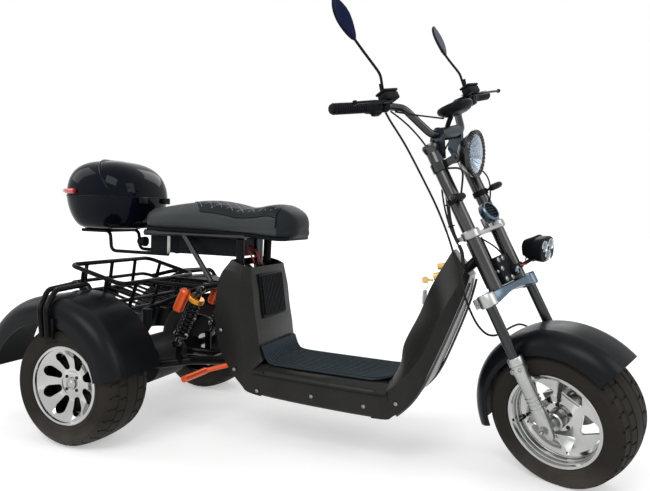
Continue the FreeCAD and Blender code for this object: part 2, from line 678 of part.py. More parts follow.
def rear_fender(side):
    """Round fender over one rear tyre, with a deep outer skirt."""
    shoulder = FENDER_SHOULDER
    inner_y = FENDER_INNER_Y
    outer_y = FENDER_OUTER_Y

    def outline(inset):
        bend = shoulder - inset
        centre = (outer_y - shoulder, FENDER_R - shoulder)
        mid = (centre[0] + bend * math.sin(math.pi / 4), centre[1] + bend * math.cos(math.pi / 4))
        return [(inner_y, FENDER_R - inset), (centre[0], FENDER_R - inset), mid,
                (outer_y - inset, centre[1]), (outer_y - inset, FENDER_EDGE_R - SKIRT_DEPTH)]

    def at(point):
        return Vector(FENDER_X, point[0], FENDER_Z + point[1])

    outer = [at(p) for p in outline(0)]
    inner = [at(p) for p in outline(FENDER_WALL)]
    edges = [
        Part.LineSegment(outer[0], outer[1]), Part.Arc(outer[1], outer[2], outer[3]),
        Part.LineSegment(outer[3], outer[4]), Part.LineSegment(outer[4], inner[4]),
        Part.LineSegment(inner[4], inner[3]), Part.Arc(inner[3], inner[2], inner[1]),
        Part.LineSegment(inner[1], inner[0]), Part.LineSegment(inner[0], outer[0]),
    ]
    face = Part.Face(Part.Wire([e.toShape() for e in edges]))
    sweep = FENDER_REAR_ANGLE - FENDER_FRONT_ANGLE
    shell = face.revolve(Vector(FENDER_X, 0, FENDER_Z), Y, sweep)
    shell.rotate(Vector(FENDER_X, 0, FENDER_Z), Y, 90 - FENDER_REAR_ANGLE)
    return side_of(shell, side)


def build_rear_fenders():
    """Both rear fenders."""
    for side, name in zip(SIDES, ("right", "left")):
        keep("rear_fender_" + name, rear_fender(side))


def build_rear_lights():
    """Hanging marker lamps and the tail lamp below the basket."""
    lamps = []
    for side in SIDES:
        y = side * 140
        edge = basket_placement().multVec(Vector(BASKET_LENGTH - 12, y, -BASKET_DEPTH))
        lamps.append(join([rod((60, y, 372), (60, y, 440), 19),
                           Part.makeCone(6, 19, 22, Vector(60, y, 350)),
                           rod(edge, (60, y, 434), 5)]))
    lamps.append(box(-266, -242, -55, 55, 444, 480))
    keep("rear_lamps", Part.makeCompound([lamp.cut([NODES["basket"]]) for lamp in lamps]))


def build_ignition():
    """Ignition lock in the left shoulder of the leg shield."""
    barrel = rod((WHEELBASE - 414, 50, 636), (WHEELBASE - 458, 62, 622), 15)
    knob = rod((WHEELBASE - 408, 50, 668), (WHEELBASE - 446, 60, 660), 12)
    outside = []
    for piece in (barrel, knob):
        pieces = piece.cut([NODES["leg_shield"], NODES["main_frame"]]).Solids
        outside.append(min(pieces, key=lambda solid: solid.CenterOfMass.x))
    keep("ignition_lock", Part.makeCompound(outside))


def build_footpegs():
    """A folding peg on each side for the passenger."""
    pegs = []
    for side in SIDES:
        peg = rod((344, side * 160, 235), (344, side * 298, 235), 12)
        arm = rod((490, side * (RAIL_Y + 4), 281), (344, side * 160, 235), 9)
        pegs.append(join([peg, arm]).cut([NODES["main_frame"]]))
    keep("footpegs", Part.makeCompound(pegs))


# ---------------------------------------------------------------- top box
def rounded_rectangle(length, width, corner, z):
    """A rounded rectangle in plan about the box's centre, at a height."""
    half_l = length / 2
    half_w = width / 2
    k = corner * (1 - math.sqrt(0.5))
    cx = BOX_CENTRE_X
    edges = []
    corners = ((1, 1), (-1, 1), (-1, -1), (1, -1))
    for sx, sy in corners:
        along_y = Vector(cx + sx * half_l, sy * (half_w - corner), z)
        along_x = Vector(cx + sx * (half_l - corner), sy * half_w, z)
        middle = Vector(cx + sx * (half_l - k), sy * (half_w - k), z)
        if sx * sy > 0:
            edges.append((along_y, middle, along_x))
        else:
            edges.append((along_x, middle, along_y))
    shapes = []
    for index, (first, middle, last) in enumerate(edges):
        following = edges[(index + 1) % 4][0]
        shapes.append(Part.Arc(first, middle, last).toShape())
        shapes.append(Part.LineSegment(last, following).toShape())
    return Part.Wire(shapes)


def box_shell(sections, wall):
    """A hollow rounded shell through (share of full size, z) sections, open at the first."""
    def loft(inset, rows):
        wires = []
        for share, z in rows:
            wires.append(rounded_rectangle(BOX_LENGTH * share - 2 * inset,
                                           BOX_WIDTH * share - 2 * inset,
                                           BOX_CORNER * share - inset, z))
        return Part.makeLoft(wires, True, True)
    closed_end = sections[-1]
    inward = wall if closed_end[1] < sections[0][1] else -wall
    inner_rows = sections[:-1] + [(closed_end[0], closed_end[1] + inward)]
    return loft(0, sections).cut(loft(wall, inner_rows))


def build_top_box():
    """Luggage box with a hinged lid, on its rack."""
    depth = BOX_SEAM_Z - BOX_BASE_Z
    base = [(1.0, BOX_SEAM_Z), (0.98, BOX_SEAM_Z - 0.27 * depth), (0.93, BOX_SEAM_Z - 0.53 * depth),
            (0.84, BOX_SEAM_Z - 0.78 * depth), (0.72, BOX_BASE_Z)]
    height = BOX_TOP_Z - BOX_SEAM_Z
    lid = [(1.0, BOX_SEAM_Z + LID_GAP), (0.985, BOX_SEAM_Z + 0.38 * height),
           (0.94, BOX_SEAM_Z + 0.64 * height), (0.85, BOX_SEAM_Z + 0.85 * height),
           (0.74, BOX_SEAM_Z + 0.95 * height), (0.56, BOX_TOP_Z)]
    hinge_x = BOX_CENTRE_X + BOX_LENGTH / 2 + HINGE_R + 3
    pin = rod((hinge_x, -40, BOX_SEAM_Z), (hinge_x, 40, BOX_SEAM_Z), 2.5)
    leaf_x = BOX_CENTRE_X + BOX_LENGTH / 2 - 1
    centre_knuckle = rod((hinge_x, -16, BOX_SEAM_Z), (hinge_x, 16, BOX_SEAM_Z), HINGE_R)
    centre_leaf = box(leaf_x, hinge_x, -16, 16, BOX_SEAM_Z + 2, BOX_SEAM_Z + 16)
    pin_room = rod((hinge_x, -41, BOX_SEAM_Z), (hinge_x, 41, BOX_SEAM_Z), 2.5 + RUNNING_GAP / 2)
    base_parts = [box_shell(base, BOX_WALL), pin]
    for y0, y1 in ((-40, -17), (17, 40)):
        base_parts.append(rod((hinge_x, y0, BOX_SEAM_Z), (hinge_x, y1, BOX_SEAM_Z), HINGE_R))
        base_parts.append(box(leaf_x, hinge_x, y0, y1, BOX_SEAM_Z - 16, BOX_SEAM_Z - 2))
    keep("box_base", join(base_parts))
    lid_shell = join([box_shell(lid, BOX_WALL), centre_knuckle, centre_leaf])
    keep("box_lid", lid_shell.cut([pin_room]))
    tubes = []
    for side in SIDES:
        y = side * 90
        tubes.append(bent_tube([(-312, y, BOX_BASE_Z - 9), (-168, y, BOX_BASE_Z - 9),
                                (-160, y, 655), (120, y, 655)], 7, 24))
    for x in (-300, -190):
        tubes.append(rod((x, -90, BOX_BASE_Z - 9), (x, 90, BOX_BASE_Z - 9), 6))
    tubes.append(box(-310, -150, -80, 80, BOX_BASE_Z - 4, BOX_BASE_Z))
    rack = join(tubes + [rod((0, -90, 655), (0, 90, 655), 6)])
    keep("box_rack", rack)


# ---------------------------------------------------------------- wheels
def tyre(outer_r, width, rim_r, rim_width):
    """A tyre's section revolved about its own axle through the origin."""
    half = width / 2
    bead = rim_r - 8
    bead_half = rim_width / 2 - LIP_WIDTH
    tread_half = half * TREAD_SHARE
    shoulder_r = outer_r - CROWN
    mid_r = (outer_r + rim_r) / 2
    edges = [Part.Arc(Vector(0, -tread_half, shoulder_r), Vector(0, 0, outer_r),
                      Vector(0, tread_half, shoulder_r))]
    for side in SIDES:
        shoulder = Vector(0, side * tread_half, shoulder_r)
        bulge = Vector(0, side * half * 0.955, mid_r + (shoulder_r - mid_r) * 0.62)
        widest = Vector(0, side * half, mid_r)
        flank = Vector(0, side * (half * 0.35 + bead_half * 0.65 + 4), (mid_r + rim_r) / 2)
        seat = Vector(0, side * bead_half, rim_r + 1)
        edges.append(Part.Arc(shoulder, bulge, widest))
        edges.append(Part.Arc(widest, flank, seat))
        edges.append(Part.LineSegment(seat, Vector(0, side * bead_half, bead)))
    edges.append(Part.LineSegment(Vector(0, -bead_half, bead), Vector(0, bead_half, bead)))
    wires = Part.sortEdges([e.toShape() for e in edges])
    face = Part.Face(Part.Wire(wires[0]))
    return face.revolve(Vector(0, 0, 0), Y, 360)


def revolved(points):
    """A solid of revolution about the Y axis from (y, radius) points."""
    return polygon([(0, y, r) for y, r in points]).revolve(Vector(0, 0, 0), Y, 360)


def rim(rim_r, width, hub_y, hub_r, bore_r, hub_inner_y, windows, window_r0, window_r1):
    """A deep-dished alloy rim whose outer side faces -Y, with windows in its face."""
    half = width / 2
    seat = rim_r - 8 - 0.3
    barrel = revolved([
        (-half, rim_r - RIM_WALL), (-half, rim_r), (-half + LIP_WIDTH, rim_r),
        (-half + LIP_WIDTH, seat), (half - LIP_WIDTH, seat), (half - LIP_WIDTH, rim_r),
        (half, rim_r), (half, rim_r - RIM_WALL), (half - LIP_WIDTH - 6, seat - RIM_WALL),
        (-half + LIP_WIDTH + 6, seat - RIM_WALL)])
    face_y = -half + hub_y
    disc = revolved([
        (face_y, bore_r), (face_y, hub_r), (-half + LIP_WIDTH + 8, seat - RIM_WALL + 1),
        (-half + LIP_WIDTH + 24, seat - RIM_WALL + 1), (face_y + 16, hub_r + 6),
        (hub_inner_y, hub_r - 4), (hub_inner_y, bore_r)])
    cutters = []
    for index in range(windows):
        angle = 2 * math.pi * index / windows
        cutters.append(window_cutter(angle, window_r0, window_r1, half, windows))
    return join([barrel, disc]).cut(cutters)


def window_cutter(angle, r0, r1, half, windows):
    """A tapered slot through the rim's face, wider towards the lip."""
    pitch = 2 * math.pi / windows
    inner_half = r0 * math.tan(pitch * 0.20)
    outer_half = r1 * math.tan(pitch * 0.29)
    points = [(r0, -inner_half), (r1, -outer_half), (r1, outer_half), (r0, inner_half)]
    turn = [(r * math.cos(angle) - t * math.sin(angle), r * math.sin(angle) + t * math.cos(angle))
            for r, t in points]
    face = polygon([(a, -half - 1, b) for a, b in turn])
    return face.extrude(Y * (half + 40))


def wheel_at(shape, x, y, z, side=-1):
    """A wheel piece made facing right, put on its axle and mirrored for the left."""
    turned_piece = side_of(shape, -side)
    turned_piece.translate(Vector(x, y, z))
    return turned_piece


def build_rear_wheels():
    """Two wide tyres on eight-window rims."""
    for side, name in zip(SIDES, ("right", "left")):
        wheel_tyre = tyre(REAR_TYRE_R, REAR_TYRE_WIDTH, REAR_RIM_R, REAR_RIM_WIDTH)
        wheel_rim = rim(REAR_RIM_R, REAR_RIM_WIDTH, REAR_HUB_DEPTH, 50, AXLE_SHAFT_R + RUNNING_GAP,
                        -REAR_RIM_WIDTH / 2 + REAR_HUB_DEPTH + 70, 8, 60, 112)
        keep("rear_tyre_" + name, wheel_at(wheel_tyre, 0, side * REAR_WHEEL_Y, REAR_TYRE_R, side))
        keep("rear_rim_" + name, wheel_at(wheel_rim, 0, side * REAR_WHEEL_Y, REAR_TYRE_R, side))


def build_front_wheel():
    """Front tyre on a five-window rim, with its brake disc."""
    on_fork("front_tyre", tyre(FRONT_TYRE_R, FRONT_TYRE_WIDTH, FRONT_RIM_R, FRONT_RIM_WIDTH))
    wheel_rim = rim(FRONT_RIM_R, FRONT_RIM_WIDTH, 62, 42, FRONT_AXLE_R + RUNNING_GAP,
                    FRONT_HUB_HALF, 5, 52, 124)
    barrel = pipe((0, -FRONT_HUB_HALF, 0), (0, 0, 0), 30, FRONT_AXLE_R + RUNNING_GAP)
    on_fork("front_rim", join([wheel_rim, barrel]))
    disc = pipe((0, FRONT_HUB_HALF - 8, 0), (0, FRONT_HUB_HALF - 4, 0), 82, 30)
    on_fork("brake_disc", disc, around=("front_rim",))


# ---------------------------------------------------------------- fork
def build_clamps():
    """Lower yoke with the steering stem, and the upper clamp, on the head tube's two ends."""
    z0 = LOWER_CLAMP_Z - LOWER_CLAMP_HEIGHT / 2
    z1 = LOWER_CLAMP_Z + LOWER_CLAMP_HEIGHT / 2
    outline = polygon([
        (-STEER_BEHIND - 24, -34, z0), (-22, -LEG_Y - 6, z0), (26, -LEG_Y, z0),
        (34, -UPPER_TUBE_Y, z0), (30, 0, z0), (34, UPPER_TUBE_Y, z0),
        (26, LEG_Y, z0), (-22, LEG_Y + 6, z0), (-STEER_BEHIND - 24, 34, z0),
    ]).extrude(Z * LOWER_CLAMP_HEIGHT)
    foot = LEG_Y - STANCHION_R
    under = Part.Arc(Vector(-200, -foot, z0), Vector(-200, 0, z0 + YOKE_ARCH), Vector(-200, foot, z0))
    closing = Part.LineSegment(Vector(-200, foot, z0), Vector(-200, -foot, z0))
    arch = Part.Face(Part.Wire([under.toShape(), closing.toShape()])).extrude(X * 400)
    plate = outline.cut(arch)
    parts = [plate]
    bores = []
    for side in SIDES:
        leg = side * LEG_Y
        parts.append(rod((0, leg, z0), (0, leg, z1), STANCHION_R + 12))
        parts.append(box(-46, -10, leg - 11, leg + 11, z0 + 4, z1 - 4))
        bores.append(rod((0, leg, z0 - 1), (0, leg, z1 + 1), STANCHION_R))
        bores.append(rod((UPPER_TUBE_X, side * UPPER_TUBE_Y, z1 - 22),
                         (UPPER_TUBE_X, side * UPPER_TUBE_Y, z1 + 1), UPPER_TUBE_R))
    stem = rod((-STEER_BEHIND, 0, z0 + YOKE_ARCH), (-STEER_BEHIND, 0, UPPER_CLAMP_Z + 22), STEM_R)
    on_fork("lower_clamp", join([join(parts).cut(bores), stem]))
    u0 = UPPER_CLAMP_Z - UPPER_CLAMP_HEIGHT / 2
    u1 = UPPER_CLAMP_Z + UPPER_CLAMP_HEIGHT / 2
    upper = [polygon([(-STEER_BEHIND - 22, -24, u0), (UPPER_TUBE_X - 24, -UPPER_TUBE_Y - 8, u0),
                      (UPPER_TUBE_X + 30, -UPPER_TUBE_Y, u0), (UPPER_TUBE_X + 30, UPPER_TUBE_Y, u0),
                      (UPPER_TUBE_X - 24, UPPER_TUBE_Y + 8, u0),
                      (-STEER_BEHIND - 22, 24, u0)]).extrude(Z * UPPER_PLATE_HEIGHT)]
    holes = [rod((-STEER_BEHIND, 0, u0 - 1), (-STEER_BEHIND, 0, u1 + 1), STEM_R)]
    for side in SIDES:
        y = side * UPPER_TUBE_Y
        upper.append(rod((UPPER_TUBE_X, y, u0), (UPPER_TUBE_X, y, u1), UPPER_TUBE_R + 9))
        holes.append(rod((UPPER_TUBE_X, y, u0 - 1), (UPPER_TUBE_X, y, u1 + 1), UPPER_TUBE_R))
    x, y, z = FORK_SLEEVE[-1]
    upper.append(rod((x, y, z), (x, y, z + 14), SLEEVE_R + 3))
    upper.append(box(x, -30, y, y + 14, z + 2, z + 10))
    holes.append(rod((x, y, z - 1), (x, y, z + 30), SLEEVE_R))
    on_fork("upper_clamp", join(upper).cut(holes))


def build_fork_tubes():
    """Stanchions below the lower yoke, thicker tubes from it up to the handlebar."""
    z1 = LOWER_CLAMP_Z + LOWER_CLAMP_HEIGHT / 2
    stanchions = []
    uppers = []
    sliders = []
    for side in SIDES:
        leg = side * LEG_Y
        stanchions.append(rod((0, leg, SLIDER_TOP - 90), (0, leg, z1), STANCHION_R))
        y = side * UPPER_TUBE_Y
        tube = rod((UPPER_TUBE_X, y, z1 - 22), (UPPER_TUBE_X, y, UPPER_TUBE_TOP), UPPER_TUBE_R)
        cap = rod((UPPER_TUBE_X, y, UPPER_TUBE_TOP), (UPPER_TUBE_X - 6, y, UPPER_TUBE_TOP + 14),
                  UPPER_TUBE_R + 4)
        uppers.append(join([tube, cap]))
        slider = join([
            rod((0, leg, SLIDER_BOTTOM), (0, leg, SLIDER_TOP), SLIDER_R),
            rod((0, leg, SLIDER_TOP - COLLAR_HEIGHT), (0, leg, SLIDER_TOP), SLIDER_R + 2)])
        sliders.append(slider.cut([
            rod((0, leg, SLIDER_TOP - 90), (0, leg, SLIDER_TOP + 1), STANCHION_R),
            rod((0, leg - 30, 0), (0, leg + 30, 0), FRONT_AXLE_R)]))
    on_fork("stanchions", Part.makeCompound(stanchions))
    on_fork("upper_tubes", Part.makeCompound(uppers))
    on_fork("fork_sliders", Part.makeCompound(sliders))
    reach = LEG_Y + SLIDER_R + 8
    on_fork("front_axle", rod((0, -reach, 0), (0, reach, 0), FRONT_AXLE_R))


def build_front_fender():
    """Arched fender over the front tyre, with its stays to the sliders."""
    r = FRONT_FENDER_R
    half = FRONT_FENDER_HALF
    wall = FRONT_FENDER_WALL
    skirt = r - FRONT_SKIRT_DEPTH

    def edge(inset):
        return [Vector(0, -half + inset, skirt), Vector(0, -half + inset, r - 52),
                Vector(0, -half * 0.78 + inset * 0.7, r - 18 - inset * 0.7),
                Vector(0, -half * 0.36, r - 2 - inset), Vector(0, 0, r - inset),
                Vector(0, half * 0.36, r - 2 - inset),
                Vector(0, half * 0.78 - inset * 0.7, r - 18 - inset * 0.7),
                Vector(0, half - inset, r - 52), Vector(0, half - inset, skirt)]
    outer = edge(0)
    inner = edge(wall)
    lines = [Part.LineSegment(outer[0], outer[1]), Part.Arc(outer[1], outer[2], outer[3]),
             Part.Arc(outer[3], outer[4], outer[5]), Part.Arc(outer[5], outer[6], outer[7]),
             Part.LineSegment(outer[7], outer[8]), Part.LineSegment(outer[8], inner[8]),
             Part.LineSegment(inner[8], inner[7]), Part.Arc(inner[7], inner[6], inner[5]),
             Part.Arc(inner[5], inner[4], inner[3]), Part.Arc(inner[3], inner[2], inner[1]),
             Part.LineSegment(inner[1], inner[0]), Part.LineSegment(inner[0], outer[0])]
    face = Part.Face(Part.Wire([e.toShape() for e in lines]))
    sweep = FRONT_FENDER_REAR_ANGLE - FRONT_FENDER_FRONT_ANGLE
    shell = face.revolve(Vector(0, 0, 0), Y, sweep)
    shell.rotate(Vector(0, 0, 0), Y, 90 - FRONT_FENDER_REAR_ANGLE)
    lugs = [side_of(box(-20, 20, half - 2, LEG_Y - 6, skirt + 2, skirt + 9), side) for side in SIDES]
    on_fork("front_fender", join([shell] + lugs), around=("fork_sliders", "stanchions"))


def build_brake():
    """Caliper over the rear edge of the disc, on a bracket from the left slider."""
    y0 = FRONT_HUB_HALF - 24
    y1 = FRONT_HUB_HALF + 14
    block = box(-96, -56, y0, y1, -6, 54)
    slot = box(-86, -40, FRONT_HUB_HALF - 10, FRONT_HUB_HALF - 2, -7, 55)
    arm = box(-60, -SLIDER_R + 2, LEG_Y - 8, LEG_Y + 4, 4, 44)
    link = box(-74, -56, y1 - 6, LEG_Y + 4, 4, 44)
    on_fork("front_caliper", join([block.cut([slot]), arm, link]).cut([
        rod((0, LEG_Y, SLIDER_BOTTOM), (0, LEG_Y, SLIDER_TOP), SLIDER_R)]))


# Middle line of the brake hose, in the fork's frame: behind, out, up.
BRAKE_HOSE = [
    (16, -232, 1090), (12, -223, 1060), (3, -200, 1022), (-12, -170, 982), (-28, -142, 930),
    (-36, -126, 860), (-37, -120, 780), (-39, -121, 705), (-40, -130, 636), (-42, -148, 562),
    (-44, -168, 492), (-46, -177, 420), (-52, -166, 365), (-59, -134, 325), (-64, -88, 306),
    (-66, -34, 303), (-66, 22, 304), (-65, 74, 298), (-62, 112, 272), (-60, 132, 228),
    (-62, 136, 178), (-68, 128, 132), (-75, 114, 94), (-80, 101, 50),
]
# Middle line of the wiring sleeve on the fork, in the fork's frame.
FORK_SLEEVE = [
    (-12, -44, 922), (-13, -46, 872), (-20, -52, 815), (-36, -60, 758), (-54, -63, 706),
    (-62, -62, 664), (-62, -62, 630),
]


def build_hoses():
    """Brake hose to the caliper, and the wiring sleeve from the bars to the leg shield."""
    brake = hose("brake_hose", BRAKE_HOSE, BRAKE_HOSE_R)
    on_fork("brake_hose", brake, around=("hand_controls", "front_caliper"))
    on_fork("fork_sleeve", hose("fork_sleeve", FORK_SLEEVE, SLEEVE_R), around=("bar_clamp",))
    top = steer_placement().multVec(Vector(*FORK_SLEEVE[-1]) - Z * SLEEVE_GAP)
    down = (head_placement().Rotation.multVec(Z) * -26)
    elbow = top + down
    foot = Vector(WHEELBASE - 331, -57, 642)
    points = [top, elbow, elbow * 0.45 + foot * 0.55 + Vector(-2, -5, 0), foot]
    lower = hose("body_sleeve", points, SLEEVE_R)
    cap = Part.Face(hexagon(SHIELD_SECTIONS[-1], BODY_WALL / 2)).extrude(shield_normal() * -BODY_WALL)
    cap = cap.cut([NODES["main_frame"]])
    keep("leg_shield", join([NODES["leg_shield"], cap]).cut([lower]))
    keep("body_sleeve", lower)


def shield_normal():
    """The direction out of the leg shield's top opening."""
    top = SHIELD_SECTIONS[-1]
    across = Vector(top[3] - top[0], 0, top[4] - top[1]).normalize()
    return Vector(across.z, 0, -across.x)


def bar_points(side):
    """The handlebar's centre line on one side, from the middle out to its end."""
    return [(BAR_X, 0, BAR_Z), (BAR_X, side * BAR_LOW_HALF, BAR_Z),
            (BAR_X - 14, side * 148, BAR_Z + BAR_RISE), (BAR_X - 15, side * 212, BAR_Z + BAR_RISE + 12),
            (BAR_X - BAR_SWEEP, side * BAR_END_Y, BAR_Z + BAR_END_RISE)]


def along_bar(side, reach):
    """A point on the handlebar's outer straight, at a distance back from its end."""
    end = Vector(*bar_points(side)[-1])
    inner = Vector(*bar_points(side)[-2])
    return end + (inner - end).normalize() * reach


def build_handlebar():
    """One bent bar across the fork, its clamp and its grips."""
    right = bar_points(-1)
    left = bar_points(1)
    path = list(reversed(right[1:])) + left[1:]
    bar = bent_tube(path, BAR_R, 40)
    on_fork("handlebar", bar)
    parts = [rod((BAR_X, -CLAMP_BOSS_Y, BAR_Z), (BAR_X, CLAMP_BOSS_Y, BAR_Z), BAR_R + 10)]
    top = UPPER_TUBE_TOP
    for side in SIDES:
        inner = side * (CLAMP_BOSS_Y - 4)
        gusset = polygon([
            (UPPER_TUBE_X - 20, inner, top - 50), (UPPER_TUBE_X + 18, inner, top - 50),
            (BAR_X + 20, inner, BAR_Z - 10), (BAR_X + 6, inner, BAR_Z + 22),
            (BAR_X - 20, inner, BAR_Z + 14), (UPPER_TUBE_X - 24, inner, top - 8)])
        parts.append(gusset.extrude(Y * (side * 14)))
        parts.append(box(UPPER_TUBE_X - 12, UPPER_TUBE_X + 12, min(inner, side * UPPER_TUBE_Y),
                         max(inner, side * UPPER_TUBE_Y), top - 50, top - 30))
    on_fork("bar_clamp", join(parts), around=("upper_tubes", "handlebar"))
    grips = []
    for side in SIDES:
        outer = along_bar(side, -6)
        inner = along_bar(side, GRIP_LENGTH)
        stop = along_bar(side, 0)
        grips.append(rod(inner, outer, GRIP_R).cut(rod(inner, stop, BAR_R)))
    on_fork("grips", Part.makeCompound(grips))


def build_controls():
    """Switch pods, brake reservoirs and levers inboard of the grips."""
    pods = []
    levers = []
    for side in SIDES:
        pod_a = along_bar(side, GRIP_LENGTH + 2)
        pod_b = along_bar(side, GRIP_LENGTH + 48)
        pod = rod(pod_a, pod_b, 22)
        perch_a = along_bar(side, GRIP_LENGTH + 52)
        perch_b = along_bar(side, GRIP_LENGTH + 76)
        perch = rod(perch_a, perch_b, 19)
        middle = (perch_a + perch_b) * 0.5
        tank = box(middle.x + 12, middle.x + 52, middle.y - 34, middle.y + 34,
                   middle.z + 2, middle.z + 36)
        pods.append(pod)
        pods.append(join([perch, tank]))
        root = Vector(middle.x + 34, middle.y, middle.z + 1)
        tip = along_bar(side, 24) + Vector(62, 0, -16)
        levers.append(bent_tube([root - Z * 2, root + Vector(12, side * 34, -10), tip], 5, 40))
    clear_pods = [pod.cut([ON_FORK["handlebar"]]) for pod in pods]
    on_fork("hand_controls", Part.makeCompound(clear_pods))
    on_fork("brake_levers", Part.makeCompound(levers), around=("hand_controls",))


def build_dash():
    """Display pod over the middle of the bar."""
    pod = rounded_block(DISPLAY_LENGTH, DISPLAY_WIDTH, DISPLAY_HEIGHT, DISPLAY_CORNER, 8)
    pod.rotate(Vector(0, 0, 0), Y, RAKE - DISPLAY_TILT)
    pod.translate(Vector(BAR_X + 60, 6, BAR_Z + 38))
    stalk = rod((BAR_X + 4, 0, BAR_Z + BAR_R - 1), (BAR_X + 44, 0, BAR_Z + 52), 9)
    on_fork("display", join([pod, stalk]), around=("handlebar", "bar_clamp"))


# Mirror stems.  Columns: side; elbow x and z; head's lower end x, y and z; head's tip x, y, z.
MIRRORS = [
    (-1, 62, 1196, 72, 300, 1318, 103, 352, 1426),
    (1, 44, 1196, 8, 258, 1300, -8, 298, 1424),
]


def build_mirrors():
    """A leaf-shaped mirror on a thin stem above each switch pod."""
    mirrors = []
    for side, elbow_x, elbow_z, low_x, low_y, low_z, tip_x, tip_y, tip_z in MIRRORS:
        root = along_bar(side, GRIP_LENGTH + 64) + Vector(10, 0, 15)
        low = Vector(low_x, side * low_y, low_z)
        tip = Vector(tip_x, side * tip_y, tip_z)
        stem = bent_tube([root, (elbow_x, root.y, elbow_z), low], 5, 26)
        boss = rod(root, root + Vector(10, 0, 26), 9)
        middle = (low + tip) * 0.5
        span = (tip - low).normalize()
        length = (tip - low).Length + 16
        head = rounded_block(length, MIRROR_WIDTH, 16, MIRROR_CORNER, 5)
        across = span.cross(Vector(-1, 0, 0.5)).normalize()
        depth = span.cross(across).normalize()
        head.Placement = Placement(middle - depth * 8, Rotation(span, across, depth, "XYZ"))
        mirrors.append(join([stem, boss, head]))
    on_fork("mirrors", Part.makeCompound(mirrors), around=("hand_controls",))


def build_fork_lights():
    """Headlight, horn, signals and the lamps by the lower yoke."""
    ahead = Rotation(Y, RAKE)
    lamp = join([rod((0, 0, 0), (-14, 0, 0), HEADLIGHT_R),
                 Part.makeCone(HEADLIGHT_R - 3, 44, 46, Vector(-14, 0, 0), Vector(-1, 0, 0))])
    aside = ahead.multiply(Rotation(Z, HEADLIGHT_TURN))
    lamp.Placement = Placement(Vector(HEADLIGHT_X, 0, HEADLIGHT_Z), aside)
    bracket = []
    for side in SIDES:
        y = side * UPPER_TUBE_Y
        bracket.append(pipe((UPPER_TUBE_X, y, HEADLIGHT_Z - 4), (UPPER_TUBE_X, y, HEADLIGHT_Z + 26),
                            UPPER_TUBE_R + 4, UPPER_TUBE_R))
        bracket.append(box(UPPER_TUBE_X + 20, HEADLIGHT_X - 20, y - 4, y + 4,
                           HEADLIGHT_Z - 2, HEADLIGHT_Z + 24))
    bracket.append(box(30, 46, -UPPER_TUBE_Y, UPPER_TUBE_Y, HEADLIGHT_Z, HEADLIGHT_Z + 20))
    on_fork("headlight", join([lamp] + bracket), around=("upper_tubes",))
    horn = rod((HORN_X, 10, HORN_Z), (HORN_X + 28, 10, HORN_Z + 6), HORN_R)
    plate_top = UPPER_CLAMP_Z - UPPER_CLAMP_HEIGHT / 2 + UPPER_PLATE_HEIGHT
    tab = box(12, HORN_X + 2, 0, 20, plate_top, HORN_Z)
    on_fork("horn", join([horn, tab]))
    signals = []
    for side in SIDES:
        y = side * UPPER_TUBE_Y
        band = pipe((UPPER_TUBE_X, y, SIGNAL_Z - 10), (UPPER_TUBE_X, y, SIGNAL_Z + 10),
                    UPPER_TUBE_R + 4, UPPER_TUBE_R)
        stalk = rod((UPPER_TUBE_X + 22, y, SIGNAL_Z), (50, side * 88, SIGNAL_Z), 5)
        body = rod((50, side * 80, SIGNAL_Z), (50, side * 150, SIGNAL_Z + 6), 11)
        signals.append(join([band, stalk, body]))
    on_fork("front_signals", Part.makeCompound(signals), around=("upper_tubes",))
    spot = rounded_block(SPOT_DEPTH, SPOT_WIDTH, SPOT_HEIGHT, 30, 10)
    spot.translate(Z * (-SPOT_HEIGHT / 2))
    spot.Placement = Placement(Vector(52, SPOT_Y, SPOT_Z), ahead).multiply(spot.Placement)
    arm = rod((UPPER_TUBE_X, UPPER_TUBE_Y + UPPER_TUBE_R + 2, SPOT_Z - 31),
              (46, SPOT_Y - 34, SPOT_Z - 24), 7)
    band = pipe((UPPER_TUBE_X, UPPER_TUBE_Y, SPOT_Z - 40), (UPPER_TUBE_X, UPPER_TUBE_Y, SPOT_Z - 20),
                UPPER_TUBE_R + 5, UPPER_TUBE_R)
    on_fork("spot_lamp", join([spot, arm, band]), around=("upper_tubes",))
    build_wiring_block(ahead)


def build_wiring_block(ahead):
    """Bracket with the wiring connectors above the lower yoke, and the round lamp on it."""
    foot = LOWER_CLAMP_Z + LOWER_CLAMP_HEIGHT / 2
    block = box(-4, 32, -46, 46, foot, foot + 96)
    eye = rod((0, 0, 0), (22, 0, 0), EYE_R)
    eye.Placement = Placement(Vector(26, 32, foot + 36), ahead)
    on_fork("wiring_block", block.cut(block_notch(foot)), around=("upper_tubes",))
    on_fork("round_lamp", eye, around=("wiring_block",))


def block_notch(foot):
    """The bevelled upper left corner of the wiring block."""
    corner = polygon([(-6, 10, foot + 98), (-6, 48, foot + 98), (-6, 48, foot + 60)])
    return corner.extrude(X * 44)


def build_all():
    """Model every sub-part."""
    build_body()
    build_frame()
    build_batteries()
    build_seat()
    build_rear_axle()
    build_shocks()
    build_basket()
    build_rear_rack()
    build_rear_stays()
    build_rear_fenders()
    build_rear_lights()
    build_footpegs()
    build_ignition()
    build_top_box()
    build_rear_wheels()
    build_front_wheel()
    build_clamps()
    build_fork_tubes()
    build_front_fender()
    build_brake()
    build_handlebar()
    build_controls()
    build_dash()
    build_mirrors()
    build_fork_lights()
    build_hoses()


def machine_middle():
    """X of the middle of everything that was modelled."""
    boxes = [shape.optimalBoundingBox(False) for shape in NODES.values()]
    return (min(b.XMin for b in boxes) + max(b.XMax for b in boxes)) / 2


build_all()
ORIGIN_X = machine_middle()
os.makedirs("parts", exist_ok=True)
for node_name, node_shape in NODES.items():
    moved = node_shape.copy()
    moved.translate(Vector(-ORIGIN_X, 0, 0))
    moved.exportStep("parts/" + node_name + ".step")
    print(node_name, len(moved.Solids), round(moved.Volume / 1e6, 3), moved.isValid())
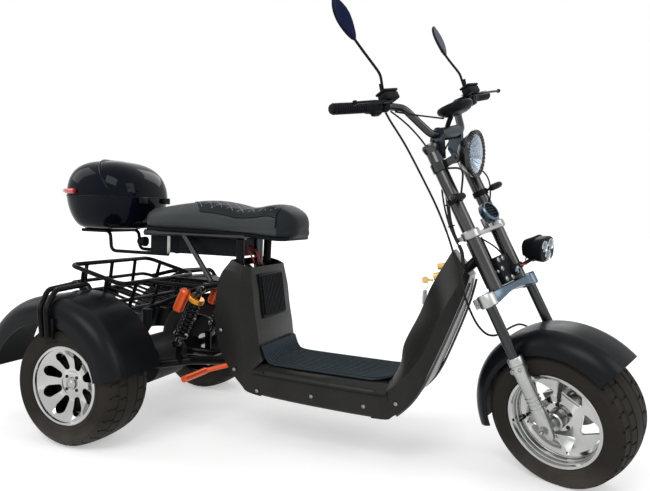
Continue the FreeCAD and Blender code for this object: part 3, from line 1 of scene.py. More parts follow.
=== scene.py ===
"""Looks of a motorized trike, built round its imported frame.

Each sub-assembly is a class that models its pieces with Blender's own operators and hands them
to the body that carries them.  Lengths are in metres.  Chassis pieces are modelled with x
counted ahead of the rear axle; pieces that turn with the fork are modelled in the fork's own
frame: x ahead of the legs, y to the left, z up along them from the front wheel's centre.
"""

import json
import logging
import math
from collections.abc import Callable, Iterable, Sequence
from dataclasses import dataclass, field
from enum import Enum

import bpy
from mathutils import Euler, Matrix, Vector


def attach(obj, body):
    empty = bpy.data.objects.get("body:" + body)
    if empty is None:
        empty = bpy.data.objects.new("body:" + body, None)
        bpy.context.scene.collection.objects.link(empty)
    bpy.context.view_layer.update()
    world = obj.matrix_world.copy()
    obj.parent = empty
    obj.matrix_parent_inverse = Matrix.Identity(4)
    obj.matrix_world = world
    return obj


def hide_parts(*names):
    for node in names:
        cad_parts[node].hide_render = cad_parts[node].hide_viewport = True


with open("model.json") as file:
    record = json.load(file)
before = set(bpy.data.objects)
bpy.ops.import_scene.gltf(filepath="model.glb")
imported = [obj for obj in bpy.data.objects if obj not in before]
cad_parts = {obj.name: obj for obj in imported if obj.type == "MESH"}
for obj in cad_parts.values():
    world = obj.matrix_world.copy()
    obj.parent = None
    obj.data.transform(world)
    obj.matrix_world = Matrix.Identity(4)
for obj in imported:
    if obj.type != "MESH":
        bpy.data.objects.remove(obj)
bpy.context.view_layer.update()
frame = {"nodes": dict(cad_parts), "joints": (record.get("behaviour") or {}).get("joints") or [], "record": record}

log = logging.getLogger("trike")
logging.basicConfig(level=logging.INFO, format="%(name)s: %(message)s")

Point = tuple[float, float, float]
Colour = tuple[float, float, float]


class Body(Enum):
    """Bodies of the frame that a piece can ride on."""

    CHASSIS = "chassis"
    FORK = "fork"
    FRONT_WHEEL = "front_wheel"
    REAR_RIGHT = "rear_wheel_right"
    REAR_LEFT = "rear_wheel_left"
    LID = "lid"


class Side(Enum):
    """Sides of the machine, as the sign of y."""

    RIGHT = -1
    LEFT = 1

    @property
    def word(self) -> str:
        """Name the side, as the pieces' names have it."""
        return self.name.lower()


# ------------------------------------------------------------------ places
def joint(name: str) -> dict:
    """Find a joint of the frame.

    Args:
        name: the joint's name in the record.

    Returns:
        The joint's entry.
    """
    return next(j for j in frame["joints"] if j["name"] == name)


def framed(x: Vector, y: Vector, z: Vector, at: Point = (0, 0, 0)) -> Matrix:
    """Give the frame with these axes at a point.

    Args:
        x: the x axis.
        y: the y axis.
        z: the z axis.
        at: its origin.

    Returns:
        A matrix from that frame's coordinates.
    """
    place = Matrix((x, y, z)).transposed().to_4x4()
    place.translation = at
    return place


def machine_place() -> Matrix:
    """Give the place of the rear axle's middle on the ground."""
    return Matrix.Translation((joint("rear_right_spin")["pos_m"][0], 0, 0))


def fork_place() -> Matrix:
    """Give the fork's own frame from its two joints.

    Returns:
        A matrix from fork coordinates to the row frame.
    """
    wheel = joint("front_wheel_spin")
    up = Vector(joint("steering")["axis"]).normalized()
    left = Vector(wheel["axis"]).normalized()
    ahead = left.cross(up).normalized()
    return framed(ahead, left, up, wheel["pos_m"])


def rear_wheel_place(side: Side) -> Matrix:
    """Give a rear wheel's own frame, whose -Y side is its outer face.

    Args:
        side: which wheel.

    Returns:
        A matrix from wheel coordinates to the row frame.
    """
    place = Matrix.Translation(joint(f"rear_{side.word}_spin")["pos_m"])
    if side is Side.LEFT:
        place = place @ Matrix.Rotation(math.pi, 4, "Z")
    return place


@dataclass(frozen=True)
class Mount:
    """A body to ride on, with the frame in which its pieces are modelled."""

    body: Body
    place: Matrix

    def __matmul__(self, place: Matrix) -> "Mount":
        """Give the mount whose frame is placed in this one's."""
        return Mount(self.body, self.place @ place)


MACHINE = machine_place()
CHASSIS = Mount(Body.CHASSIS, MACHINE)
LID = Mount(Body.LID, MACHINE)
STEERED = Mount(Body.FORK, fork_place())


# ------------------------------------------------------------------ shader nodes
def feed(tree: bpy.types.NodeTree, node: bpy.types.Node, feeds: dict[str | int, object]) -> None:
    """Feed a shader node's inputs.

    Args:
        tree: the tree that it stands in.
        node: the node.
        feeds: for each input, by name or number, its value or the socket that drives it.
    """
    for key, value in feeds.items():
        if isinstance(value, bpy.types.NodeSocket):
            tree.links.new(value, node.inputs[key])
        else:
            node.inputs[key].default_value = value


def add_node(tree: bpy.types.NodeTree, kind: str, feeds: dict[str | int, object] | None = None,
             **settings: object) -> bpy.types.Node:
    """Add a shader node to a tree.

    Args:
        tree: the tree.
        kind: the node's type, without the first part that all share.
        feeds: what its inputs are fed with.
        **settings: attributes to set on it.

    Returns:
        The new node.
    """
    made = tree.nodes.new(f"ShaderNode{kind}")
    for key, value in settings.items():
        setattr(made, key, value)
    feed(tree, made, feeds or {})
    return made


class NodeGroup:
    """A shader node group whose sockets are all numbers, built once."""

    def __init__(self, name: str, given: dict[str, float]) -> None:
        """Start a group.

        Args:
            name: the group's name.
            given: its inputs, each with its usual value.
        """
        self.tree = bpy.data.node_groups.new(name, "ShaderNodeTree")
        for label, value in given.items():
            socket = self.tree.interface.new_socket(label, in_out="INPUT",
                                                    socket_type="NodeSocketFloat")
            socket.default_value = value
        self.given = self.tree.nodes.new("NodeGroupInput").outputs
        self.place = self.node("TexCoord").outputs["Object"]

    def node(self, kind: str, feeds: dict[str | int, object] | None = None,
             **settings: object) -> bpy.types.Node:
        """Add a node to the group; its arguments are those of add_node."""
        return add_node(self.tree, kind, feeds, **settings)

    def give(self, **sockets: bpy.types.NodeSocket) -> bpy.types.NodeTree:
        """Close the group.

        Args:
            **sockets: what each of its outputs gives.

        Returns:
            The group's tree.
        """
        for label in sockets:
            self.tree.interface.new_socket(label, in_out="OUTPUT",
                                           socket_type="NodeSocketFloat")
        feed(self.tree, self.tree.nodes.new("NodeGroupOutput"), sockets)
        return self.tree


def build_grain_group() -> bpy.types.NodeTree:
    """Build the moulded grain that plastics, leather and castings share.

    Returns:
        A group with a height and a blotch mask.
    """
    group = NodeGroup("moulded_grain", {"Scale": 400.0, "Pebbles": 0.5})
    scale = group.given["Scale"]
    fine = group.node("TexNoise", {"Vector": group.place, "Scale": scale, "Detail": 4.0})
    cells = group.node("TexVoronoi", {"Vector": group.place, "Scale": scale},
                       feature="SMOOTH_F1")
    broad = group.node("TexNoise", {"Vector": group.place, "Scale": 9.0, "Detail": 5.0})
    height = group.node("Mix", {"Factor": group.given["Pebbles"], "A": fine.outputs["Fac"],
                                "B": cells.outputs["Distance"]}, data_type="FLOAT")
    return group.give(Height=height.outputs["Result"], Mask=broad.outputs["Fac"])


def build_dust_group() -> bpy.types.NodeTree:
    """Build the road dust that gathers low down and in patches.

    Returns:
        A group with a mask from 0, clean, to 1, dusty.
    """
    group = NodeGroup("road_dust", {"Height": 0.3, "Amount": 0.4})
    split = group.node("SeparateXYZ", {"Vector": group.place})
    low = group.node("Math", {0: split.outputs["Z"], 1: group.given["Height"]},
                     operation="DIVIDE")
    fade = group.node("Math", {0: 1.0, 1: low.outputs[0]}, operation="SUBTRACT", use_clamp=True)
    patches = group.node("TexNoise", {"Vector": group.place, "Scale": 14.0, "Detail": 6.0})
    both = group.node("Math", {0: fade.outputs[0], 1: patches.outputs["Fac"]},
                      operation="MULTIPLY")
    share = group.node("Math", {0: both.outputs[0], 1: group.given["Amount"]},
                       operation="MULTIPLY", use_clamp=True)
    return group.give(Mask=share.outputs[0])


def build_twill_group() -> bpy.types.NodeTree:
    """Build a fine diagonal twill, as printed on carbon-look plastic.

    Returns:
        A group with a weave mask.
    """
    group = NodeGroup("twill", {"Scale": 260.0})
    turn = group.node("Mapping", {"Vector": group.place,
                                  "Rotation": (0.0, math.radians(38), 0.0)})
    checks = group.node("TexChecker", {
        "Vector": turn.outputs["Vector"], "Scale": group.given["Scale"],
        "Color1": (1, 1, 1, 1), "Color2": (0, 0, 0, 1)})
    return group.give(Mask=checks.outputs["Fac"])


BUILT: dict[str, bpy.types.Material] = {}
GRAIN = build_grain_group()
DUST = build_dust_group()
TWILL = build_twill_group()
ROAD_DUST: Colour = (0.33, 0.30, 0.26)
GRAIN_DEPTH = 0.0006


# ------------------------------------------------------------------ finishes
@dataclass(frozen=True)
class Finish:
    """A surface finish: a base colour with grain, blotches and road dust."""

    name: str
    slot: str
    colour: Colour
    roughness: float = 0.5
    metallic: float = 0.0
    coat: float = 0.0
    grain: float = 400.0
    bump: float = 0.1
    pebbles: float = 0.3
    variation: float = 0.25
    dust: float = 0.0
    dust_height: float = 0.35
    twill: float = 0.0
    transmission: float = 0.0
    specular: float = 0.5

    def build(self) -> bpy.types.Material:
        """Build the material, or find it if it was built before.

        Returns:
            The material.
        """
        if self.name in BUILT:
            return BUILT[self.name]
        material = bpy.data.materials.new(f"{self.name}_finish")
        BUILT[self.name] = material
        material.use_nodes = True
        tree = material.node_tree
        grain = add_node(tree, "Group", {"Scale": self.grain, "Pebbles": self.pebbles},
                         node_tree=GRAIN)
        rough = add_node(tree, "MapRange", {
            "Value": grain.outputs["Mask"],
            "To Min": max(self.roughness * (1 - self.variation), 0.02),
            "To Max": min(self.roughness * (1 + self.variation), 1.0)})
        bump = add_node(tree, "Bump", {"Strength": self.bump, "Distance": GRAIN_DEPTH,
                                       "Height": grain.outputs["Height"]})
        feed(tree, tree.nodes["Principled BSDF"], {
            "Base Color": self._tint(tree, grain.outputs["Mask"]), "Metallic": self.metallic,
            "Roughness": rough.outputs["Result"], "Normal": bump.outputs["Normal"],
            "Coat Weight": self.coat, "Coat Roughness": 0.06,
            "Transmission Weight": self.transmission, "Specular IOR Level": self.specular})
        return material

    @staticmethod
    def _mixed(tree: bpy.types.NodeTree, mask: bpy.types.NodeSocket, first: object,
               second: object) -> bpy.types.NodeSocket:
        """Mix two colours by a mask.

        Args:
            tree: the material's node tree.
            mask: how much of the second colour shows.
            first: the colour, or its socket, where the mask is 0.
            second: the colour, or its socket, where the mask is 1.

        Returns:
            The mixed colour's socket.
        """
        mix = add_node(tree, "Mix", {"Factor": mask}, data_type="RGBA")
        for value, label in ((first, "A"), (second, "B")):
            spot = next(i for i, socket in enumerate(mix.inputs)
                        if socket.name == label and socket.type == "RGBA")
            feed(tree, mix, {spot: value if isinstance(value, bpy.types.NodeSocket)
                             else (*value, 1.0)})
        return next(socket for socket in mix.outputs if socket.type == "RGBA")

    def _tint(self, tree: bpy.types.NodeTree,
              blotches: bpy.types.NodeSocket) -> bpy.types.NodeSocket:
        """Vary the base colour with blotches, twill and dust.

        Args:
            tree: the material's node tree.
            blotches: the mask of the blotches.

        Returns:
            The colour's socket.
        """
        dark = tuple(c * (1 - self.variation) for c in self.colour)
        light = tuple(min(c * (1 + self.variation) + 0.002, 1) for c in self.colour)
        tint = self._mixed(tree, blotches, dark, light)
        if self.twill:
            twill = add_node(tree, "Group", node_tree=TWILL)
            soft = add_node(tree, "Math", {0: twill.outputs["Mask"], 1: self.twill},
                            operation="MULTIPLY")
            tint = self._mixed(tree, soft.outputs[0], tint, tuple(c * 2.2 for c in self.colour))
        if self.dust:
            dust = add_node(tree, "Group", {"Height": self.dust_height, "Amount": self.dust},
                            node_tree=DUST)
            tint = self._mixed(tree, dust.outputs["Mask"], tint, ROAD_DUST)
        return tint


BODY_PLASTIC = Finish("body_plastic", "body_shell", (0.014, 0.014, 0.013), 0.26, grain=900,
                      bump=0.05, twill=0.30, dust=0.10, specular=0.13)
FENDER_PAINT = Finish("fender_satin", "fender_black", (0.004, 0.0055, 0.007), 0.31, grain=500,
                      bump=0.05, dust=0.02, specular=0.12)
BLACK_PAINT = Finish("tube_paint", "black_paint", (0.005, 0.005, 0.006), 0.26, grain=350,
                     bump=0.06, dust=0.04, specular=0.08)
BLACK_PLASTIC = Finish("moulded_black", "black_plastic", (0.007, 0.009, 0.011), 0.42, grain=1200,
                       bump=0.12, dust=0.03, specular=0.06)
MAT_RUBBER = Finish("mat_rubber", "mat_rubber", (0.020, 0.033, 0.043), 0.55, grain=1500, bump=0.2,
                    dust=0.08, dust_height=0.7, specular=0.06)
GRIP_RUBBER = Finish("grip_rubber", "grip_rubber", (0.006, 0.007, 0.010), 0.5, grain=1500,
                     bump=0.2, specular=0.08)
SEAT_VINYL = Finish("seat_vinyl", "seat_leather", (0.042, 0.050, 0.051), 0.42, grain=700,
                    bump=0.25, pebbles=0.8, specular=0.2)
SEAT_INSERT = Finish("seat_insert", "seat_leather", (0.014, 0.018, 0.022), 0.46, grain=900,
                     bump=0.3, pebbles=0.9, specular=0.1)
THREAD = Finish("pale_thread", "seat_leather", (0.30, 0.31, 0.33), 0.8, grain=3000, bump=0.3)
# Gloss black with a blue tint; the blue is a painted reflection of the sky.
BOX_BLACK_PAINTED_SKY = Finish("box_gloss", "box_gloss", (0.0008, 0.0028, 0.0070), 0.06, grain=40,
                   bump=0.01, variation=0.15, specular=0.08)
RED_LENS = Finish("red_lens", "orange_alloy", (0.62, 0.012, 0.020), 0.14, coat=0.3, grain=300,
                  bump=0.05)
RED_WIRE = Finish("red_wire", "cable_sheath", (0.50, 0.02, 0.015), 0.45, grain=900, bump=0.05)
ORANGE_ALLOY = Finish("orange_anodised", "orange_alloy", (0.80, 0.10, 0.012), 0.3, metallic=0.3,
                      grain=500, bump=0.05)
GOLD_ALLOY = Finish("gold_anodised", "orange_alloy", (0.72, 0.30, 0.035), 0.28, metallic=0.7,
                    grain=500, bump=0.05)
TYRE_RUBBER = Finish("tyre_rubber", "tyre_rubber", (0.029, 0.0255, 0.022), 0.6, grain=700,
                     bump=0.15, dust=0.35, dust_height=0.12, specular=0.05)
RIM_POLISH = Finish("rim_polish", "rim_polish", (0.46, 0.46, 0.45), 0.10, metallic=1.0, grain=90,
                    bump=0.01, variation=0.3)
# Darker copy of the rim's polished metal, for the rear barrel: painted shade inside the wheel.
RIM_PAINTED_SHADE = Finish("rim_shade", "rim_polish", (0.055, 0.056, 0.057), 0.14, metallic=1.0,
                   grain=90, bump=0.02)
SILVER_ALLOY = Finish("silver_alloy", "silver_alloy", (0.40, 0.41, 0.40), 0.34, metallic=1.0,
                      grain=700, bump=0.06)
YOKE_ALLOY = Finish("yoke_alloy", "silver_alloy", (0.10, 0.14, 0.18), 0.30, metallic=1.0,
                    grain=500, bump=0.05)
GREY_STEEL = Finish("grey_steel", "grey_steel", (0.33, 0.335, 0.33), 0.3, metallic=1.0, grain=700,
                    bump=0.05)
DARK_TUBE = Finish("dark_tube", "dark_steel", (0.045, 0.047, 0.048), 0.22, metallic=0.9,
                   grain=400, bump=0.03)
BRONZE_TUBE = Finish("bronze_tube", "dark_steel", (0.060, 0.061, 0.060), 0.22, metallic=0.85,
                     grain=400, bump=0.04)
CAST_MOTOR = Finish("cast_motor", "cast_motor", (0.012, 0.012, 0.013), 0.5, metallic=0.4,
                    grain=800, bump=0.3, dust=0.08, specular=0.15)
LAMP_MIRROR = Finish("lamp_mirror", "headlight_glass", (0.17, 0.22, 0.27), 0.12, metallic=1.0,
                     grain=120, bump=0.05)
LAMP_GLASS = Finish("lamp_glass", "headlight_glass", (0.86, 0.92, 1.0), 0.03, grain=60, bump=0.02,
                    transmission=1.0, variation=0.03)
# Dull navy with little shine: on the mirrors it is a painted reflection of the sky, in place of mirrored glass.
NAVY_GLASS_PAINTED_REFLECTION = Finish("blue_mirror_glass", "headlight_glass", (0.001, 0.006, 0.040), 0.05,
                    grain=40, bump=0.005, specular=0.08, variation=0.1)
SMOKED_LENS = Finish("smoked_lens", "black_plastic", (0.02, 0.008, 0.004), 0.1, coat=0.2, grain=200,
                     bump=0.03, specular=0.2)
SLATE_ALLOY = Finish("slate_alloy", "dark_steel", (0.045, 0.060, 0.075), 0.3, metallic=0.8,
                     grain=500, bump=0.05)
BRASS = Finish("lock_brass", "brass_lock", (0.62, 0.43, 0.16), 0.3, metallic=1.0, grain=600,
               bump=0.08)
CABLE = Finish("cable_sheath", "cable_sheath", (0.006, 0.006, 0.007), 0.42, grain=1500, bump=0.15,
               specular=0.16)
SLEEVE = Finish("braided_sleeve", "cable_sheath", (0.012, 0.013, 0.014), 0.5, grain=1500, bump=0.2,
                twill=0.8, specular=0.2)
PALE_PLASTIC = Finish("pale_plastic", "silver_alloy", (0.50, 0.51, 0.52), 0.4, grain=900,
                      bump=0.06)

FINISHES = (BODY_PLASTIC, FENDER_PAINT, BLACK_PAINT, BLACK_PLASTIC, MAT_RUBBER, GRIP_RUBBER,
            SEAT_VINYL, BOX_BLACK_PAINTED_SKY, ORANGE_ALLOY, TYRE_RUBBER, RIM_POLISH, SILVER_ALLOY,
            GREY_STEEL, DARK_TUBE, CAST_MOTOR, LAMP_MIRROR, BRASS, CABLE)


# ------------------------------------------------------------------ bench
def deselect() -> None:
    """Leave edit mode and clear the selection."""
    if bpy.context.object is not None and bpy.context.object.mode != "OBJECT":
        bpy.ops.object.mode_set(mode="OBJECT")
    bpy.ops.object.select_all(action="DESELECT")


def activate(*objects: bpy.types.Object) -> None:
    """Select objects and make the first one active.

    Args:
        *objects: the objects to select.
    """
    deselect()
    for each in objects:
        each.select_set(True)
    bpy.context.view_layer.objects.active = objects[0]


def turn_to(axis: Point) -> Euler:
    """Give the turn that points Z along an axis."""
    return Vector(axis).to_track_quat("Z", "Y").to_euler()


def everywhere(place: Vector, normal: Vector) -> bool:
    """Choose every face, edge or point."""
    return True


def facing(axis: Point, at: Point = (0, 0, 0)) -> Matrix:
    """Give the frame at a point whose z axis lies along an axis."""
    return Matrix.Translation(at) @ turn_to(axis).to_matrix().to_4x4()


class Piece:
    """A piece on the bench, shaped with Blender's own modelling tools."""

    def __init__(self, obj: bpy.types.Object | None = None) -> None:
        """Take up an object.

        Args:
            obj: the object, or None for the one just added.
        """
        self.obj = obj or bpy.context.object

    # -- first shapes
    @classmethod
    def block(cls, size: Point, at: Point = (0, 0, 0), turn: Point = (0, 0, 0)) -> "Piece":
        """Set up a block.

        Args:
            size: its lengths along x, y and z.
            at: its middle.
            turn: its turn about x, y and z, in degrees.

        Returns:
            The piece.
        """
        deselect()
        bpy.ops.mesh.primitive_cube_add(size=1.0, location=at,
                                        rotation=[math.radians(a) for a in turn])
        bpy.context.object.scale = size
        return cls().settle()

    @classmethod
    def rod(cls, radius: float, start: Point, end: Point, sides: int = 32) -> "Piece":
        """Set up a rod between two points.

        Args:
            radius: its radius.
            start: the middle of one end.
            end: the middle of the other end.
            sides: faces around it.

        Returns:
            The piece.
        """
        deselect()
        first, last = Vector(start), Vector(end)
        bpy.ops.mesh.primitive_cone_add(
            vertices=sides, radius1=radius, radius2=radius, depth=(last - first).length,
            location=(first + last) / 2, rotation=turn_to(last - first))
        return cls().settle()

    @classmethod
    def ball(cls, radii: Point, at: Point) -> "Piece":
        """Set up a ball, stretched along its own axes.

        Args:
            radii: its radii along x, y and z.
            at: its middle.

        Returns:
            The piece.
        """
        deselect()
        bpy.ops.mesh.primitive_uv_sphere_add(segments=32, ring_count=16, radius=1.0, location=at)
        bpy.context.object.scale = radii
        return cls().settle()

    @classmethod
    def hoop(cls, radius: float, thickness: float, at: Point, axis: Point = (0, 0, 1)) -> "Piece":
        """Set up a round hoop.

        Args:
            radius: the radius of its middle line.
            thickness: the radius of its wire.
            at: its middle.
            axis: the axis that it goes round.

        Returns:
            The piece.
        """
        deselect()
        bpy.ops.mesh.primitive_torus_add(location=at, rotation=turn_to(axis), major_segments=48,
                                         minor_segments=10, major_radius=radius,
                                         minor_radius=thickness)
        return cls().settle()

    @classmethod
    def _drawn(cls, points: Sequence[Point]) -> "Piece":
        """Draw a line of edges from corner to corner, and stay in edit mode.

        Args:
            points: the corners.

        Returns:
            The piece, with all of the line selected.
        """
        deselect()
        bpy.ops.mesh.primitive_plane_add(size=0.001)
        piece = cls()
        bpy.ops.object.mode_set(mode="EDIT")
        bpy.ops.mesh.select_mode(type="VERT")
        bpy.ops.mesh.select_all(action="SELECT")
        bpy.ops.mesh.merge(type="CENTER")
        bpy.ops.transform.translate(value=points[0])
        for start, end in zip(points, points[1:]):
            step = tuple(b - a for a, b in zip(start, end))
            bpy.ops.mesh.extrude_region_move(TRANSFORM_OT_translate={"value": step})
        bpy.ops.mesh.select_all(action="SELECT")
        return piece

    @classmethod
    def turned(cls, profile: Sequence[tuple[float, float]], sides: int = 64,
               closed: bool = False) -> "Piece":
        """Turn a profile round the z axis, as on a lathe.

        Args:
            profile: (radius, height) of each of its points.
            sides: steps round the axis.
            closed: whether the last point joins the first.

        Returns:
            The piece.
        """
        line = list(profile) + ([profile[0]] if closed else [])
        piece = cls._drawn([(radius, 0, height) for radius, height in line])
        bpy.ops.mesh.spin(steps=sides, angle=2 * math.pi, center=(0, 0, 0), axis=(0, 0, 1))
        bpy.ops.mesh.select_all(action="SELECT")
        bpy.ops.mesh.remove_doubles(threshold=1e-5)
        bpy.ops.mesh.normals_make_consistent(inside=False)
        return piece.done()

    @classmethod
    def tube(cls, points: Sequence[Point], radius: float, sides: int = 12,
             order: int = 4) -> "Piece":
        """Draw a tube along a smooth line.

        Args:
            points: the control points of the line.
            radius: the tube's radius.
            sides: faces around it.
            order: the order of the line; 2 gives straight runs.

        Returns:
            The piece.
        """
        deselect()
        bpy.ops.curve.primitive_nurbs_path_add(location=(0, 0, 0))
        curve = bpy.context.object.data
        line = curve.splines[0]
        line.points.add(max(len(points) - len(line.points), 0))
        if len(points) < len(line.points):
            curve.splines.remove(line)
            line = curve.splines.new("NURBS")
            line.points.add(len(points) - 1)
        for knot, point in zip(line.points, points):
            knot.co = (*point, 1.0)
        line.order_u = min(order, len(points))
        line.use_endpoint_u = True
        line.resolution_u = 8
        curve.bevel_depth = radius
        curve.bevel_resolution = max(sides // 4 - 1, 1)
        curve.use_fill_caps = True
        bpy.ops.object.convert(target="MESH")
        piece = cls()
        piece.choose(everywhere, "VERT")
        bpy.ops.mesh.remove_doubles(threshold=1e-6)
        bpy.ops.mesh.normals_make_consistent(inside=False)
        return piece.done()

    @classmethod
    def plate(cls, outline: Sequence[tuple[float, float]], thickness: float) -> "Piece":
        """Cut a flat plate, drawn in x and z, with its middle at y = 0.

        Args:
            outline: (x, z) of its corners, in order.
            thickness: its thickness along y.

        Returns:
            The piece.
        """
        piece = cls._drawn([(x, -thickness / 2, z) for x, z in (*outline, outline[0])])
        bpy.ops.mesh.remove_doubles(threshold=1e-5)
        bpy.ops.mesh.select_all(action="SELECT")
        bpy.ops.mesh.edge_face_add()
        bpy.ops.mesh.extrude_region_move(TRANSFORM_OT_translate={"value": (0, thickness, 0)})
        bpy.ops.mesh.select_all(action="SELECT")
        bpy.ops.mesh.normals_make_consistent(inside=False)
        return piece.done()

    # -- edit-mode work
    def choose(self, test: Callable[[Vector, Vector], bool], kind: str = "FACE") -> "Piece":
        """Go into edit mode with chosen faces, edges or points selected.

        Args:
            test: takes the place and the normal, or an edge's direction; says whether to choose.
            kind: FACE, EDGE or VERT.

        Returns:
            The piece itself.
        """
        activate(self.obj)
        bpy.ops.object.mode_set(mode="EDIT")
        bpy.ops.mesh.select_mode(type=kind)
        bpy.ops.mesh.select_all(action="DESELECT")
        bpy.ops.object.mode_set(mode="OBJECT")
        mesh = self.obj.data
        if kind == "FACE":
            for face in mesh.polygons:
                face.select = test(face.center, face.normal)
        elif kind == "VERT":
            for point in mesh.vertices:
                point.select = test(point.co, point.normal)
        else:
            for edge in mesh.edges:
                first, last = (mesh.vertices[i].co for i in edge.vertices)
                edge.select = test((first + last) / 2, (last - first).normalized())
        bpy.ops.object.mode_set(mode="EDIT")
        return self

    def inset(self, width: float, depth: float = 0.0) -> "Piece":
        """Inset the chosen faces."""
        bpy.ops.mesh.inset(thickness=width, depth=depth)
        return self

    def push(self, distance: float) -> "Piece":
        """Extrude the chosen faces along their normals."""
        bpy.ops.mesh.extrude_region_shrink_fatten(TRANSFORM_OT_shrink_fatten={"value": distance})
        return self

    def shift(self, by: Point) -> "Piece":
        """Move what is chosen."""
        bpy.ops.transform.translate(value=by)
        return self

    def scale(self, by: Point, about: Point) -> "Piece":
        """Scale what is chosen about a point."""
        bpy.ops.transform.resize(value=by, center_override=about)
        return self

    def done(self) -> "Piece":
        """Go back to object mode."""
        bpy.ops.object.mode_set(mode="OBJECT")
        return self

    # -- whole-piece work
    def settle(self) -> "Piece":
        """Apply the object's place, turn and scale.

        Returns:
            The piece itself.
        """
        activate(self.obj)
        bpy.ops.object.transform_apply(location=True, rotation=True, scale=True)
        return self

    def modify(self, kind: str, **settings: object) -> "Piece":
        """Add a modifier and apply it.

        Args:
            kind: the modifier's type.
            **settings: its settings.

        Returns:
            The piece itself.
        """
        activate(self.obj)
        modifier = self.obj.modifiers.new(kind.lower(), kind)
        for key, value in settings.items():
            setattr(modifier, key, value)
        bpy.ops.object.modifier_apply(modifier=modifier.name)
        return self

    def bevel(self, width: float, segments: int = 2, angle: float = 35.0) -> "Piece":
        """Round the sharp edges."""
        return self.modify("BEVEL", width=width, segments=segments, limit_method="ANGLE",
                           angle_limit=math.radians(angle))

    def smooth(self, levels: int = 2) -> "Piece":
        """Subdivide into a smooth surface."""
        return self.modify("SUBSURF", levels=levels, render_levels=levels)

    def thicken(self, wall: float, offset: float = -1.0) -> "Piece":
        """Give the skin a wall: inward at an offset of -1, outward at 1."""
        return self.modify("SOLIDIFY", thickness=wall, offset=offset)

    def cut(self, *tools: "Piece") -> "Piece":
        """Cut this piece with others, which are used up.

        Args:
            *tools: the cutting pieces.

        Returns:
            The piece itself.
        """
        for tool in tools:
            self.modify("BOOLEAN", object=tool.obj, operation="DIFFERENCE", solver="EXACT")
            tool.drop()
        return self

    def drop(self) -> None:
        """Throw the piece away."""
        activate(self.obj)
        bpy.ops.object.delete()

    def moved(self, place: Matrix) -> "Piece":
        """Move the piece by a matrix."""
        self.obj.matrix_world = place @ self.obj.matrix_world
        return self.settle()

    def copy(self, place: Matrix | None = None) -> "Piece":
        """Copy the piece, with its own mesh, to another place.

        Args:
            place: the matrix from the first one's place to the copy's, if they differ.

        Returns:
            The copy.
        """
        activate(self.obj)
        bpy.ops.object.duplicate()
        return Piece(bpy.context.object).moved(Matrix() if place is None else place)

    def mirrored(self) -> "Piece":
        """Copy the piece to the machine's other side."""
        return self.copy(Matrix.Scale(-1, 4, (0, 1, 0))).outward()

    def outward(self) -> "Piece":
        """Turn every face outward.

        Returns:
            The piece itself.
        """
        self.choose(everywhere)
        bpy.ops.mesh.normals_make_consistent(inside=False)
        return self.done()

    def ringed(self, count: int) -> "Piece":
        """Copy the piece round the z axis and join the copies.

        Args:
            count: how many there are in the ring.

        Returns:
            The joined ring.
        """
        copies = [self.copy(Matrix.Rotation(2 * math.pi * i / count, 4, "Z"))
                  for i in range(1, count)]
        return self.join(*copies)

    def join(self, *others: "Piece") -> "Piece":
        """Join other pieces into this one.

        Args:
            *others: the pieces to join on.

        Returns:
            The piece itself.
        """
        if others:
            activate(self.obj, *(other.obj for other in others))
            bpy.ops.object.join()
        return self

    def deliver(self, name: str, finish: Finish, mount: Mount, replaces: Sequence[str] = (),
                angle: float = 38.0) -> "Piece":
        """Finish the piece and hand it to the body that carries it.

        Args:
            name: the piece's name.
            finish: its surface finish.
            mount: the body that it rides on and the frame that it is modelled in.
            replaces: the frame pieces that it stands for.
            angle: edges sharper than this, in degrees, stay sharp.

        Returns:
            The piece itself.
        """
        self.obj.name = name
        self.obj.data.name = name
        self.moved(mount.place)
        bpy.ops.object.shade_smooth_by_angle(angle=math.radians(angle))
        self.obj.data.materials.clear()
        self.obj.data.materials.append(finish.build())
        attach(self.obj, mount.body.value)
        if replaces:
            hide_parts(*replaces)
        log.info("built %s with %d faces", name, len(self.obj.data.polygons))
        return self


def joined(pieces: Iterable[Piece]) -> Piece:
    """Join several pieces into the first one."""
    first, *others = pieces
    return first.join(*others)


def bolt(at: Point, axis: Point, radius: float = 0.006, height: float = 0.004) -> Piece:
    """Make a button-head bolt with a hexagon socket and a washer.

    Args:
        at: the point where its washer sits.
        axis: the direction that its head faces.
        radius: the head's radius.
        height: the head's height.

    Returns:
        The bolt.
    """
    head = Piece.turned([(0, 0.0008), (radius * 1.35, 0.0008), (radius * 1.35, 0.0018),
                         (radius, 0.0020), (radius * 0.95, height * 0.7),
                         (radius * 0.6, height + 0.001), (0, height + 0.001)], 20)
    socket = Piece.rod(radius * 0.45, (0, 0, height * 0.4), (0, 0, height * 3), 6)
    return head.cut(socket).moved(facing(axis, at))


# ------------------------------------------------------------------ wheels
WHEEL_TURN = Matrix.Rotation(math.pi / 2, 4, "X")


